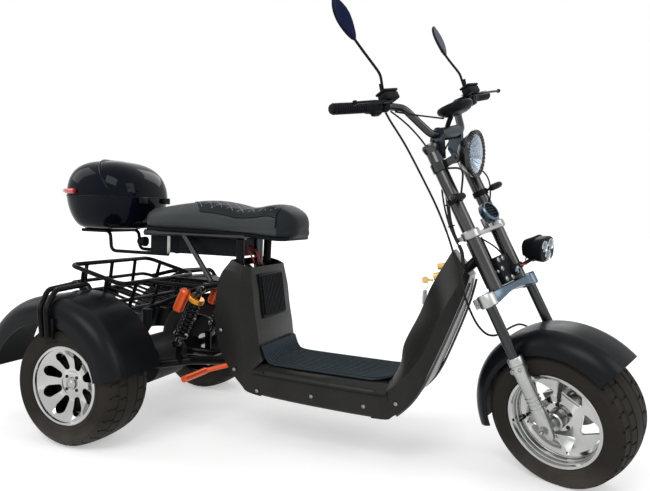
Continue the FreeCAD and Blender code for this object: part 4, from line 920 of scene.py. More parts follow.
@dataclass
class Tyre:
    """A low, wide tubeless tyre with grooved tread and ribbed walls."""

    name: str
    radius: float
    half: float
    bead: float
    mount: Mount
    steps: int = 180
    drop: float = 0.010
    groove: float = 0.0045

    def build(self) -> None:
        """Turn the tyre and cut its sipes."""
        wall = self.radius - self.bead
        side = [(0.00, 0.875), (0.03, 0.950), (0.10, 0.972), (0.15, 0.985), (0.17, 0.998),
                (0.20, 0.998), (0.22, 0.986), (0.40, 1.000), (0.56, 0.996), (0.60, 1.004),
                (0.64, 1.004), (0.67, 0.980), (0.78, 0.930), (0.86, 0.870)]
        profile = [(self.bead + wall * rise, self.half * out) for rise, out in side]
        for share in (0.80, 0.66, 0.62, 0.60, 0.56, 0.42, 0.30, 0.27, 0.25, 0.22, 0.08):
            profile.append((self._crown(share), self.half * share))
        whole = profile + [(radius, -out) for radius, out in reversed(profile)]
        tyre = Piece.turned(whole, self.steps, closed=True)
        step = 2 * math.pi / self.steps

        def sipe(place: Vector, normal: Vector) -> bool:
            """Say whether a tread face belongs to a sipe.

            Args:
                place: the face's middle.
                normal: the face's direction.

            Returns:
                Whether the face is part of a sipe.
            """
            out = abs(place.z) / self.half
            radius = math.hypot(place.x, place.y)
            lean = 0.10 if place.z > 0 else -0.10
            turn = (math.atan2(place.y, place.x) + lean * out) % (6 * step)
            shoulder = 0.64 < out < 0.95 and radius > self.radius - 0.032 and turn < step
            rib = 0.31 < out < 0.55 and (turn - 3 * step) % (6 * step) < step
            return normal.xy.length > 0.4 and radius > self.bead + 0.02 and (shoulder or rib)

        tyre.choose(sipe).push(-0.0035).done()
        tyre.deliver(f"{self.name}_tread", TYRE_RUBBER, self.mount, (self.name,), 42)

    def _crown(self, share: float) -> float:
        """Give the tread's radius at a share of the half width.

        Args:
            share: the share of the half width, from 0 to 1.

        Returns:
            The radius.
        """
        drop = self.drop * share ** 2.2
        in_groove = 0.58 < share < 0.64 or 0.24 < share < 0.28
        return self.radius - drop - (self.groove if in_groove else 0.0)


@dataclass
class RearWheel:
    """A rear wheel: polished rim with eight drop-shaped slots, and its tyre."""

    side: Side
    rim: float = 0.136
    half: float = 0.096
    slots: int = 8
    slot_middle: float = 0.090
    slot_length: float = 0.071
    slot_width: float = 0.042
    drum: float = 0.112
    bolt_circle: float = 0.031
    tyre_radius: float = 0.217
    tyre_half: float = 0.103

    def build(self) -> None:
        """Build the tyre, the rim's barrel, its face and its bolts."""
        word = self.side.word
        mount = Mount(Body(f"rear_wheel_{word}"), rear_wheel_place(self.side) @ WHEEL_TURN)
        Tyre(f"rear_tyre_{word}", self.tyre_radius, self.tyre_half, self.rim, mount).build()
        rim, half = self.rim, self.half
        barrel = Piece.turned(
            [(rim - 0.006, half), (rim - 0.002, half + 0.0015), (rim + 0.001, half),
             (rim + 0.0015, half - 0.005), (rim - 0.003, half - 0.008), (rim - 0.007, half - 0.016),
             (rim - 0.009, 0.05), (rim - 0.009, -0.05), (rim - 0.007, 0.016 - half),
             (rim - 0.003, 0.008 - half), (rim + 0.0015, 0.005 - half), (rim + 0.001, -half),
             (rim - 0.002, -half - 0.0015), (rim - 0.006, -half), (rim - 0.009, 0.012 - half),
             (rim - 0.0135, -0.055), (rim - 0.0135, 0.030), (rim - 0.0115, 0.052),
             (rim - 0.0115, 0.074), (rim - 0.0085, half - 0.014), (rim - 0.0080, half - 0.004)],
            96, closed=True)
        face = Piece.turned(
            [(0.020, 0.0560), (0.042, 0.0555), (0.048, 0.0530), (0.062, 0.0545),
             (0.085, 0.0620), (0.106, 0.0730), (0.1215, 0.0850), (0.1275, 0.0885),
             (0.1275, 0.0790), (0.1180, 0.0690), (0.100, 0.0580), (0.080, 0.0490),
             (0.060, 0.0440), (0.044, 0.0430), (0.020, 0.0430)],
            128, closed=True)
        face.cut(*(self._slot(2 * math.pi * i / self.slots) for i in range(self.slots)))
        face.bevel(0.0025, 3, 30)
        hub = Piece.turned([(0, 0.066), (0.010, 0.066), (0.013, 0.063), (0.020, 0.062),
                            (0.022, 0.056), (0.022, -0.030), (0.034, -0.034), (0.034, -0.050),
                            (0, -0.050)], 48)
        lip = Piece.turned(
            [(rim - 0.0085, half + 0.0006), (rim - 0.0020, half + 0.0022),
             (rim + 0.0012, half + 0.0006), (rim + 0.0018, half - 0.0050),
             (rim - 0.0030, half - 0.0075), (rim - 0.0095, half - 0.0070)], 96, closed=True)
        face.join(lip)
        face.deliver(f"rear_rim_face_{word}", RIM_POLISH, mount, (f"rear_rim_{word}",), 32)
        # The barrel takes the darker copy of the rim's metal: painted shade.
        barrel.deliver(f"rear_rim_barrel_{word}", RIM_PAINTED_SHADE, mount, (), 32)
        drum = Piece.turned([(0.024, 0.022), (self.drum - 0.004, 0.022), (self.drum, 0.018),
                             (self.drum, -0.018), (0.024, -0.018)], 64, closed=True)
        drum.deliver(f"rear_drum_{word}", CAST_MOTOR, mount, (), 32)
        hub.deliver(f"rear_hub_{word}", SILVER_ALLOY, mount)
        ring = bolt((self.bolt_circle, 0, 0.0555), (0, 0, 1), 0.0045, 0.004)
        ring = ring.moved(Matrix.Rotation(math.pi / 4, 4, "Z")).ringed(4)
        ring.deliver(f"rear_hub_bolts_{word}", DARK_TUBE, mount)
        valve = Piece.turned([(0.0042, 0), (0.0042, 0.010), (0.0030, 0.012), (0.0030, 0.026),
                              (0.0036, 0.026), (0.0036, 0.033), (0, 0.034)], 16)
        valve.moved(Matrix.Translation((rim - 0.016, 0.012, 0.052)))
        valve.deliver(f"rear_valve_{word}", BLACK_PLASTIC, mount)

    def _slot(self, turn: float) -> Piece:
        """Make the tool that cuts one drop-shaped slot.

        Args:
            turn: its angle round the wheel, in radians.

        Returns:
            The tool.
        """
        tool = Piece.rod(self.slot_width / 2, (0, 0, 0.0), (0, 0, 0.12), 32)
        tool.choose(lambda place, normal: place.x > 0, "VERT")
        tool.shift((self.slot_length - self.slot_width, 0, 0)).done()
        tool.choose(lambda place, normal: place.x <= 0.001, "VERT")
        tool.scale((0.62, 0.62, 1), (0, 0, 0)).done()
        tool.moved(Matrix.Translation((self.slot_middle - self.slot_length * 0.38, 0, 0)))
        return tool.moved(Matrix.Rotation(turn + math.pi / self.slots, 4, "Z"))


@dataclass
class FrontWheel:
    """The front wheel: deep stepped rim with five spokes, barrel hub and tyre."""

    rim: float = 0.153
    half: float = 0.091
    spokes: int = 5
    hub_radius: float = 0.030
    tyre_radius: float = 0.2275
    tyre_half: float = 0.099
    tyre_drop: float = 0.017

    def build(self) -> None:
        """Build the tyre, the rim's steps, the spokes, the hub and the valve."""
        mount = Mount(Body.FRONT_WHEEL, STEERED.place @ WHEEL_TURN)
        Tyre("front_tyre", self.tyre_radius, self.tyre_half, self.rim, mount,
             drop=self.tyre_drop).build()
        rim, half = self.rim, self.half
        near = [(rim - 0.007, half), (rim - 0.002, half + 0.0015), (rim + 0.001, half),
                (rim + 0.0015, half - 0.005), (rim - 0.003, half - 0.009),
                (rim - 0.008, half - 0.018), (rim - 0.011, 0.045)]
        far = [(radius, -out) for radius, out in reversed(near)]
        inner = [(rim - 0.014, 0.016 - half), (rim - 0.018, -0.050), (rim - 0.018, 0.030),
                 (rim - 0.0175, 0.040), (rim - 0.0155, 0.042), (rim - 0.0155, 0.058),
                 (rim - 0.0125, 0.060), (rim - 0.0125, 0.074), (rim - 0.0095, 0.076),
                 (rim - 0.0090, half - 0.004)]
        barrel = Piece.turned(near + far + inner, 96, closed=True)
        disc = Piece.turned(
            [(0.022, 0.046), (0.046, 0.045), (0.052, 0.040), (0.075, 0.033), (0.110, 0.028),
             (0.126, 0.030), (rim - 0.0165, 0.038), (rim - 0.0165, 0.026), (0.120, 0.018),
             (0.075, 0.020), (0.046, 0.026), (0.022, 0.026)], 120, closed=True)
        disc.cut(*(self._window(2 * math.pi * (i + 0.5) / self.spokes)
                   for i in range(self.spokes)))
        disc.bevel(0.003, 3, 30)
        lip = Piece.turned(
            [(rim - 0.0095, half + 0.0006), (rim - 0.0020, half + 0.0022),
             (rim + 0.0012, half + 0.0006), (rim + 0.0018, half - 0.0050),
             (rim - 0.0030, half - 0.0080), (rim - 0.0110, half - 0.0110)], 96, closed=True)
        disc.join(lip)
        disc.deliver("front_rim_face", RIM_POLISH, mount, ("front_rim",), 32)
        barrel.deliver("front_rim_barrel", SILVER_ALLOY, mount, (), 32)
        radius = self.hub_radius
        hub = Piece.turned([(0, 0.100), (0.012, 0.100), (0.0135, 0.098), (0.0135, 0.093),
                            (radius - 0.004, 0.092), (radius, 0.088), (radius, 0.052),
                            (radius - 0.003, 0.050), (radius - 0.003, -0.050), (radius, -0.060),
                            (radius, -0.088), (0.0135, -0.092), (0, -0.092)], 48)
        hub.deliver("front_hub_barrel", SILVER_ALLOY, mount)
        studs = bolt((0.040, 0, 0.045), (0, 0, 1), 0.005, 0.004).ringed(self.spokes)
        studs.deliver("front_hub_bolts", DARK_TUBE, mount)
        valve = Piece.turned([(0.0045, 0), (0.0045, 0.010), (0.0032, 0.012), (0.0032, 0.028),
                              (0.0038, 0.028), (0.0038, 0.036), (0, 0.037)], 16)
        valve.moved(Matrix.Rotation(math.radians(172), 4, "Z")
                    @ Matrix.Translation((rim - 0.026, 0, 0.036)))
        valve.deliver("front_valve", BLACK_PLASTIC, mount)

    def _window(self, turn: float) -> Piece:
        """Make the tool that cuts one rounded, three-cornered window.

        Args:
            turn: its angle round the wheel, in radians.

        Returns:
            The tool.
        """
        tool = Piece.rod(0.047, (0, 0, -0.03), (0, 0, 0.11), 3).bevel(0.016, 6)
        tool.moved(Matrix.Translation((0.090, 0, 0)) @ Matrix.Rotation(math.pi / 2, 4, "Z"))
        return tool.moved(Matrix.Rotation(turn, 4, "Z"))


# ------------------------------------------------------------------ body shells
def loft(rings: Sequence[Sequence[Point]], caps: tuple[bool, bool] = (False, False)) -> Piece:
    """Skin a run of closed rings, each with the same number of points.

    Args:
        rings: the rings' points, in order along the piece.
        caps: whether the first and the last ring are filled.

    Returns:
        The skinned piece.
    """
    deselect()
    count = len(rings[0])
    bpy.ops.mesh.primitive_grid_add(x_subdivisions=count, y_subdivisions=len(rings) - 1)
    piece = Piece()
    for index, point in enumerate(piece.obj.data.vertices):
        point.co = rings[index // (count + 1)][index % (count + 1) % count]
    piece.obj.data.update()
    piece.choose(everywhere, "VERT")
    bpy.ops.mesh.remove_doubles(threshold=1e-6)
    piece.done()
    ends = [Vector(p) for ring, cap in ((rings[0], caps[0]), (rings[-1], caps[1])) if cap
            for p in ring]
    for start in range(0, len(ends), count):
        chosen = ends[start:start + count]
        piece.choose(lambda place, normal: any((place - p).length < 1e-5 for p in chosen), "VERT")
        bpy.ops.mesh.edge_face_add()
    return piece.outward()


def flowing(rows: Sequence[Sequence[float]], steps: int) -> list[list[float]]:
    """Run a smooth curve through rows of numbers.

    Args:
        rows: the rows that it goes through.
        steps: rows made for each one given.

    Returns:
        The finer rows, with the first and last as given.
    """
    finer = []
    for index in range(len(rows) - 1):
        start, end = rows[index], rows[index + 1]
        before = rows[index - 1] if index else [2 * a - b for a, b in zip(start, end)]
        after = (rows[index + 2] if index + 2 < len(rows)
                 else [2 * b - a for a, b in zip(start, end)])
        for step in range(steps):
            t = step / steps
            finer.append([0.5 * ((2 * b) + (c - a) * t + (2 * a - 5 * b + 4 * c - d) * t ** 2
                                 + (3 * b - a - 3 * c + d) * t ** 3)
                          for a, b, c, d in zip(before, start, end, after)])
    finer.append(list(rows[-1]))
    return finer


@dataclass
class BodyShell:
    """The U-shaped body: seat housing, floor tray and leg shield, as one flowing run.

    A row is one section: outer edge x, z, half width; inner edge x, z, half width; the side
    crease's share of the way in, and its half width.
    """

    wheelbase: float = 1.604
    wall: float = 0.0032
    rounding: float = 0.015
    edge: float = 0.0045
    bead: float = 0.0016
    steps: int = 6
    housing: tuple = ((0.430, 0.655, 0.134, 0.514, 0.630, 0.136, 0.60, 0.152),
                      (0.398, 0.598, 0.156, 0.521, 0.586, 0.145, 0.74, 0.172),
                      (0.386, 0.525, 0.165, 0.530, 0.540, 0.149, 0.74, 0.181),
                      (0.384, 0.450, 0.168, 0.540, 0.467, 0.150, 0.725, 0.184),
                      (0.398, 0.370, 0.171, 0.553, 0.400, 0.150, 0.715, 0.186),
                      (0.425, 0.300, 0.172, 0.562, 0.343, 0.150, 0.71, 0.187),
                      (0.500, 0.212, 0.176, 0.578, 0.300, 0.150, 0.725, 0.188),
                      (0.586, 0.176, 0.178, 0.602, 0.280, 0.150, 0.865, 0.189))
    shield: tuple = ((0.604, 0.160, 0.178, 0.596, 0.274, 0.150, 0.825, 0.189),
                     (0.524, 0.180, 0.177, 0.558, 0.280, 0.130, 0.82, 0.188),
                     (0.462, 0.242, 0.168, 0.532, 0.334, 0.095, 0.62, 0.180),
                     (0.414, 0.350, 0.150, 0.529, 0.400, 0.062, 0.34, 0.163),
                     (0.364, 0.480, 0.130, 0.483, 0.505, 0.050, 0.34, 0.143),
                     (0.332, 0.576, 0.105, 0.447, 0.602, 0.045, 0.28, 0.119),
                     (0.316, 0.645, 0.066, 0.381, 0.728, 0.034, 0.23, 0.076))

    def build(self) -> None:
        """Skin the three shells and dress them."""
        front = [(self.wheelbase - s[0], s[1], s[2], self.wheelbase - s[3], *s[4:])
                 for s in self.shield]
        rows = flowing(list(self.housing) + front, self.steps)
        rear_end = (len(self.housing) - 1) * self.steps
        front_end = len(self.housing) * self.steps
        self._shell(rows[:rear_end + 1], "housing_shell", ("seat_housing",), True, False)
        self._shell(rows[rear_end:front_end + 1], "tray_shell", ("floor_tray",), False, False)
        self._shell(rows[front_end:], "shield_shell", ("leg_shield",), False, True)
        self._trim_lines(rows, rear_end, front_end)

    @staticmethod
    def _ring(row: Sequence[float]) -> list[Point]:
        """Place the six corners of one section.

        Args:
            row: the section.

        Returns:
            The corners, from the right outer edge round to the left one.
        """
        outer, inner = Vector((row[0], 0, row[1])), Vector((row[3], 0, row[4]))
        crease = outer.lerp(inner, row[6])
        near = [(p.x, -half, p.z)
                for p, half in ((outer, row[2]), (crease, row[7]), (inner, row[5]))]
        return near + [(x, -y, z) for x, y, z in reversed(near)]

    def _shell(self, rows: Sequence[Sequence[float]], name: str, nodes: tuple[str, ...],
               rear_open: bool, closed: bool) -> None:
        """Skin one shell, round its edges and give it its wall.

        Args:
            rows: the sections, from the rear forward.
            name: the piece's name.
            nodes: the frame pieces that it stands for.
            rear_open: whether its rear face is left out.
            closed: whether its far end is closed.
        """
        shell = loft([self._ring(row) for row in rows], (False, closed))
        if rear_open:
            shell.choose(lambda place, normal: abs(place.y) < 0.02 and normal.x < -0.3
                         and 0.20 < place.z < 0.625)
            bpy.ops.mesh.delete(type="FACE")
            shell.done()
        shell.bevel(self.rounding, 4, 28).outward().thicken(self.wall)
        shell.deliver(name, BODY_PLASTIC, CHASSIS, nodes, 24)

    def _trim_lines(self, rows: Sequence[Sequence[float]], rear_end: int, front_end: int) -> None:
        """Lay the pale edge of the shield, the tray's beading and the body's bolts.

        Args:
            rows: the sections of the whole body.
            rear_end: the row where the housing ends.
            front_end: the row where the shield starts.
        """
        for side in Side:
            y = side.value
            high = rows[front_end + 6:front_end + 35:4]
            edge = [(row[0] + 0.006, y * (row[2] - 0.004), row[1]) for row in high]
            Piece.tube(edge, self.edge, 10).deliver(
                f"shield_edge_{side.word}", BRONZE_TUBE, CHASSIS)
            low = rows[rear_end - 3:front_end + 8:2]
            bead = [(row[0] + (row[3] - row[0]) * row[6], y * (row[7] + 0.0005),
                     row[1] + (row[4] - row[1]) * row[6] - 0.012) for row in low]
            Piece.tube(bead, self.bead, 8).deliver(
                f"tray_bead_{side.word}", BLACK_PLASTIC, CHASSIS)
        places = [(0.575, 0.196), (0.785, 0.205), (0.975, 0.198), (1.085, 0.222),
                  (0.480, 0.262), (0.421, 0.40)]
        bolts = []
        for x, z in places:
            right = bolt((x, -0.1835, z), (0, -1, -0.12), 0.0046, 0.004)
            bolts += [right, right.mirrored()]
        joined(bolts).deliver("body_bolts", GREY_STEEL, CHASSIS)


@dataclass
class FloorMat:
    """The ribbed rubber mat on the floor, running up the shield's foot."""

    line: tuple = ((0.5665, 0.3460), (0.5810, 0.3090), (0.5960, 0.2900), (0.6200, 0.2830),
                   (0.700, 0.2812), (0.850, 0.2790), (0.985, 0.2770),
                   (1.015, 0.2795), (1.046, 0.2870), (1.064, 0.3030), (1.073, 0.3300))
    half: float = 0.143
    thickness: float = 0.005
    ribs: int = 15
    bend: float = 0.985
    bend_run: float = 0.09
    narrowing: float = 0.052
    rib_radius: float = 0.0034

    def _climb(self, x: float) -> float:
        """Give how far along the shield's foot a place lies, from 0 at the bend."""
        return max(0.0, (x - self.bend) / self.bend_run)

    def build(self) -> None:
        """Lay the mat and its ribs."""
        rings = []
        for (x, z), (after_x, after_z) in zip(self.line, self.line[1:] + (self.line[-1],)):
            half = self.half - self.narrowing * self._climb(x)
            way = Vector((after_x - x, 0, after_z - z))
            up = Vector((-way.z, 0, way.x)).normalized() if way.length else Vector((-1, 0, 0.3))
            low, high = Vector((x, 0, z)), Vector((x, 0, z)) + up * self.thickness
            rings.append([(low.x, -half, low.z), (low.x, half, low.z), (high.x, half, high.z),
                          (high.x, -half, high.z)])
        mat = loft(rings, (True, True)).bevel(0.0015, 2)
        for index in range(self.ribs):
            y = self.half * 0.90 * (2 * index / (self.ribs - 1) - 1)
            line = [(x, y * (1 - 0.3 * self._climb(x)), z + self.thickness + 0.0008)
                    for x, z in self.line[:-2]]
            mat.join(Piece.tube(line, self.rib_radius, 8))
        mat.deliver("ribbed_mat", MAT_RUBBER, CHASSIS, ("floor_mat",), 30)


@dataclass
class Grille:
    """The slatted cover on the housing's front face."""

    foot: Point = (0.5455, 0.0, 0.4400)
    head: Point = (0.5205, 0.0, 0.6030)
    half: float = 0.096
    slats: int = 15

    def build(self) -> None:
        """Frame the grille and set its upright slats."""
        low, high = Vector(self.foot), Vector(self.head)
        up = (high - low).normalized()
        out = Vector((up.z, 0, -up.x))
        length = (high - low).length
        back = Piece.block((0.004, 2 * self.half, length))
        back.choose(lambda place, normal: normal.x > 0.9).inset(0.009).push(-0.0015).done()
        back.bevel(0.0012, 2)
        for index in range(self.slats):
            y = (self.half - 0.014) * (2 * index / (self.slats - 1) - 1)
            slat = Piece.block((0.007, 0.0062, length - 0.020), (0.0045, y, 0))
            back.join(slat.bevel(0.0016, 2))
        place = framed(out, Vector((0, 1, 0)), up, (low + high) / 2 + out * 0.004)
        back.deliver("grille_slats", BLACK_PLASTIC, CHASSIS @ place, ("grille_panel",))


@dataclass
class Basket:
    """The luggage basket: three bent rails, upright bars and a slatted floor."""

    rear: Point = (-0.232, 0.0, 0.602)
    tilt: float = 13.5
    length: float = 0.256
    half: float = 0.241
    depth: float = 0.116
    middle: float = 0.62
    corner: float = 0.034
    rail: float = 0.0088
    upright: float = 0.0076
    slat: float = 0.0056
    slats: int = 7

    def build(self) -> None:
        """Bend the rails, set the bars and lay the floor."""
        place = (CHASSIS @ Matrix.Translation(self.rear)
                 @ Matrix.Rotation(math.radians(self.tilt), 4, "Y"))
        bars = [self._loop(0.0, 0.0, self.rail),
                self._loop(0.006, self.middle * self.depth, self.rail - 0.0012),
                self._loop(0.012, self.depth, self.rail)]
        foot = -self.depth
        for x in (0.070, self.length - 0.070):
            for side in Side:
                y = side.value * self.half
                bars.append(Piece.rod(self.upright, (x, y, 0),
                                      (x, y - side.value * 0.012, foot), 16))
        for y in (-0.150, 0.0, 0.150):
            bars.append(Piece.rod(self.upright, (0, y, 0), (0.012, y, foot), 16))
            bars.append(Piece.rod(self.upright, (self.length, y, 0),
                                  (self.length - 0.012, y, foot), 16))
        for index in range(self.slats):
            y = (index - (self.slats - 1) / 2) * 0.052
            bars.append(Piece.rod(self.slat, (0.012, y, foot), (self.length - 0.012, y, foot), 16))
        joined(bars).deliver("basket_bars", BLACK_PAINT, place, ("basket",), 40)

    def _loop(self, inset: float, depth: float, radius: float) -> Piece:
        """Bend one closed rail.

        Args:
            inset: how far inside the rim it runs.
            depth: how far below the rim it lies.
            radius: the rail's own radius.

        Returns:
            The rail.
        """
        x0, x1, half = inset, self.length - inset, self.half - inset
        corners = ((x1 - self.corner, half - self.corner, 0), (x0 + self.corner,
                   half - self.corner, 90), (x0 + self.corner, self.corner - half, 180),
                   (x1 - self.corner, self.corner - half, 270))
        line = []
        for x, y, start in corners:
            for step in range(7):
                turn = math.radians(start + 15 * step)
                line.append((x + self.corner * math.cos(turn),
                             y + self.corner * math.sin(turn), -depth))
        line += line[:2]
        return Piece.tube(line, radius, 16, 2)


# ------------------------------------------------------------------ seat
@dataclass
class Seat:
    """The long two-person cushion, quilted on top from the rider's place forward."""

    stations: tuple = ((0.020, 0.768, 0.812, 0.098), (0.030, 0.756, 0.832, 0.126),
                       (0.090, 0.753, 0.842, 0.139), (0.190, 0.752, 0.858, 0.142),
                       (0.290, 0.751, 0.866, 0.142), (0.365, 0.750, 0.857, 0.140),
                       (0.435, 0.748, 0.843, 0.136), (0.500, 0.744, 0.846, 0.134),
                       (0.560, 0.738, 0.858, 0.131), (0.606, 0.735, 0.853, 0.120),
                       (0.640, 0.738, 0.836, 0.098), (0.657, 0.752, 0.812, 0.064))
    across: tuple = ((-0.78, 0.0), (-0.95, 0.10), (-1.0, 0.34), (-0.985, 0.60), (-0.91, 0.80),
                     (-0.72, 0.93), (-0.38, 0.985), (0.0, 1.0), (0.38, 0.985), (0.72, 0.93),
                     (0.91, 0.80), (0.985, 0.60), (1.0, 0.34), (0.95, 0.10), (0.78, 0.0),
                     (0.38, 0.0), (0.0, 0.0), (-0.38, 0.0))
    insert_from: float = 0.215
    insert_to: float = 0.604
    nose: float = 0.600
    insert_share: float = 0.90
    insert_wall: float = 0.0022
    diamond: float = 0.046
    thread: float = 0.0011
    seam_lift: float = 0.0012
    swelling: float = 0.003
    voxel: float = 0.006
    pressure: float = 4.0
    frames: int = 20
    furthest: float = 0.006
    foot_height: float = 0.76
    foot_furthest: float = 0.001

    def build(self) -> None:
        """Shape, swell, seam and quilt the cushion."""
        cushion = self._block(self.swelling)
        self._swell(cushion)
        cushion.smooth(1)
        self._border(cushion)
        self._quilting(cushion)
        cushion.deliver("cushion", SEAT_VINYL, CHASSIS, ("seat_cushion",), 60)
        self._pan().deliver("seat_pan", BLACK_PLASTIC, CHASSIS)

    def _rings(self, inset: float) -> list[list[Point]]:
        """Place the cushion's rings, drawn in by an inset.

        Args:
            inset: how far inside the surface it lies.

        Returns:
            The rings, from the rear forward.
        """
        rings = []
        for x, low, high, half in flowing(self.stations, 3):
            width, foot, tall = half - inset, low + inset * 0.5, high - low - inset * 1.5
            rings.append([(x, width * y, foot + tall * z) for y, z in self.across])
        return rings

    def _block(self, inset: float) -> Piece:
        """Skin the cushion and close its two ends.

        Args:
            inset: how far inside the surface it lies.

        Returns:
            The cushion.
        """
        piece = loft(self._rings(inset), (True, True))
        piece.choose(lambda place, normal: abs(normal.x) > 0.98 and
                     (place.x < 0.024 or place.x > 0.653))
        piece.inset(0.008, 0.002).done()
        return piece

    def _swell(self, cushion: Piece) -> None:
        """Swell the cushion a little with cloth under air pressure.

        Args:
            cushion: the cushion, whose points move no further than they may.
        """
        cushion.modify("REMESH", mode="VOXEL", voxel_size=self.voxel)
        before = [point.co.copy() for point in cushion.obj.data.vertices]
        activate(cushion.obj)
        bpy.ops.object.modifier_add(type="CLOTH")
        cloth = cushion.obj.modifiers[-1]
        cloth.settings.use_pressure = True
        cloth.settings.uniform_pressure_force = self.pressure
        cloth.settings.effector_weights.gravity = 0.0
        scene = bpy.context.scene
        for number in range(1, self.frames + 1):
            scene.frame_set(number)
        bpy.ops.object.modifier_apply(modifier=cloth.name)
        scene.frame_set(1)
        for point, place in zip(cushion.obj.data.vertices, before):
            moved = point.co - place
            allowed = self.foot_furthest if place.z < self.foot_height else self.furthest
            if moved.length > allowed:
                point.co = place + moved.normalized() * allowed
        cushion.modify("SMOOTH", iterations=6, factor=0.5)

    def _top(self, cushion: Piece, x: float, y: float) -> Vector:
        """Find the cushion's top surface above a point in plan."""
        hit, place, _, _ = cushion.obj.ray_cast(Vector((x, y, 1.2)), Vector((0, 0, -1)))
        return place if hit else Vector((x, y, 0.85))

    def _half(self, x: float) -> float:
        """Give the insert's half width at a place along the seat.

        Args:
            x: the place along the seat.

        Returns:
            The half width.
        """
        rows = flowing(self.stations, 4)
        near = min(rows, key=lambda row: abs(row[0] - x))
        taper = min(1.0, (x - self.insert_from + 0.05) / 0.12)
        return near[3] * self.insert_share * taper

    def _border(self, cushion: Piece) -> None:
        """Sew the insert's border and the seam round the nose.

        Args:
            cushion: the cushion.
        """
        xs = [self.insert_from + (self.insert_to - self.insert_from) * i / 24 for i in range(25)]
        outline = [(x, -self._half(x)) for x in xs] + [(x, self._half(x)) for x in reversed(xs)]
        outline.append(outline[0])
        lift = Vector((0, 0, self.seam_lift))
        line = [self._top(cushion, x, y) + lift for x, y in outline]
        Piece.tube(line, 0.0022, 8, 3).deliver("insert_piping", BLACK_PLASTIC, CHASSIS)
        inner = [self._top(cushion, x, y * 0.93) + lift for x, y in outline]
        Piece.tube(inner, 0.0012, 8, 3).deliver("insert_stitching", THREAD, CHASSIS)
        row = min(flowing(self.stations, 6), key=lambda row: abs(row[0] - self.nose))
        ring = [(self.nose, row[3] * 1.012 * y, row[1] + (row[2] - row[1]) * (1.012 * z - 0.004))
                for y, z in self.across[2:13]]
        Piece.tube(ring, 0.0026, 8, 3).deliver("nose_seam", BLACK_PLASTIC, CHASSIS)

    def _quilting(self, cushion: Piece) -> None:
        """Lay the dark insert and its diamond stitching.

        Args:
            cushion: the cushion.
        """
        insert = cushion.copy()
        insert.choose(lambda place, normal: place.x < self.nose and not (
            self.insert_from < place.x and normal.z > 0.35
            and abs(place.y) < self._half(place.x)))
        bpy.ops.mesh.delete(type="FACE")
        insert.done()
        insert.thicken(self.insert_wall, 1.0)
        insert.deliver("seat_insert", SEAT_INSERT, CHASSIS, (), 60)
        threads = []
        length = self.insert_to - self.insert_from
        for lean in (-1, 1):
            for index in range(-4, int(length / self.diamond) + 5):
                start = self.insert_from + index * self.diamond
                points = []
                for step in range(23):
                    y = -0.13 + 0.26 * step / 22
                    x = start + lean * y
                    if (self.insert_from + 0.01 < x < self.insert_to - 0.01
                            and abs(y) < self._half(x) * 0.93):
                        points.append(self._top(cushion, x, y) + Vector((0, 0, 0.0026)))
                if len(points) > 2:
                    threads.append(Piece.tube(points, self.thread, 8, 3))
        joined(threads).deliver("diamond_stitching", THREAD, CHASSIS)

    def _pan(self) -> Piece:
        """Shape the plastic pan under the cushion.

        Returns:
            The pan.
        """
        rings = []
        for x, low, high, half in flowing(self.stations, 2):
            width = half * 0.93
            rings.append([(x, -width, low + 0.006), (x, width, low + 0.006),
                          (x, width * 0.96, low - 0.006), (x, -width * 0.96, low - 0.006)])
        return loft(rings[1:-2], (True, True)).bevel(0.003, 2)


# ------------------------------------------------------------------ top box
def bulged(value: float, power: float) -> float:
    """Raise a number to a power and keep its sign."""
    return math.copysign(abs(value) ** power, value)


def squircle(middle: Point, half_x: float, half_y: float, power: float = 2.7,
             count: int = 36) -> list[Point]:
    """Place a ring between an oval and a rectangle.

    Args:
        middle: its middle.
        half_x: its half length.
        half_y: its half width.
        power: 2 for an oval, more for squarer corners.
        count: how many points.

    Returns:
        The ring's points.
    """
    ring = []
    for index in range(count):
        turn = 2 * math.pi * index / count
        ring.append((middle[0] + half_x * bulged(math.cos(turn), 2 / power),
                     middle[1] + half_y * bulged(math.sin(turn), 2 / power), middle[2]))
    return ring


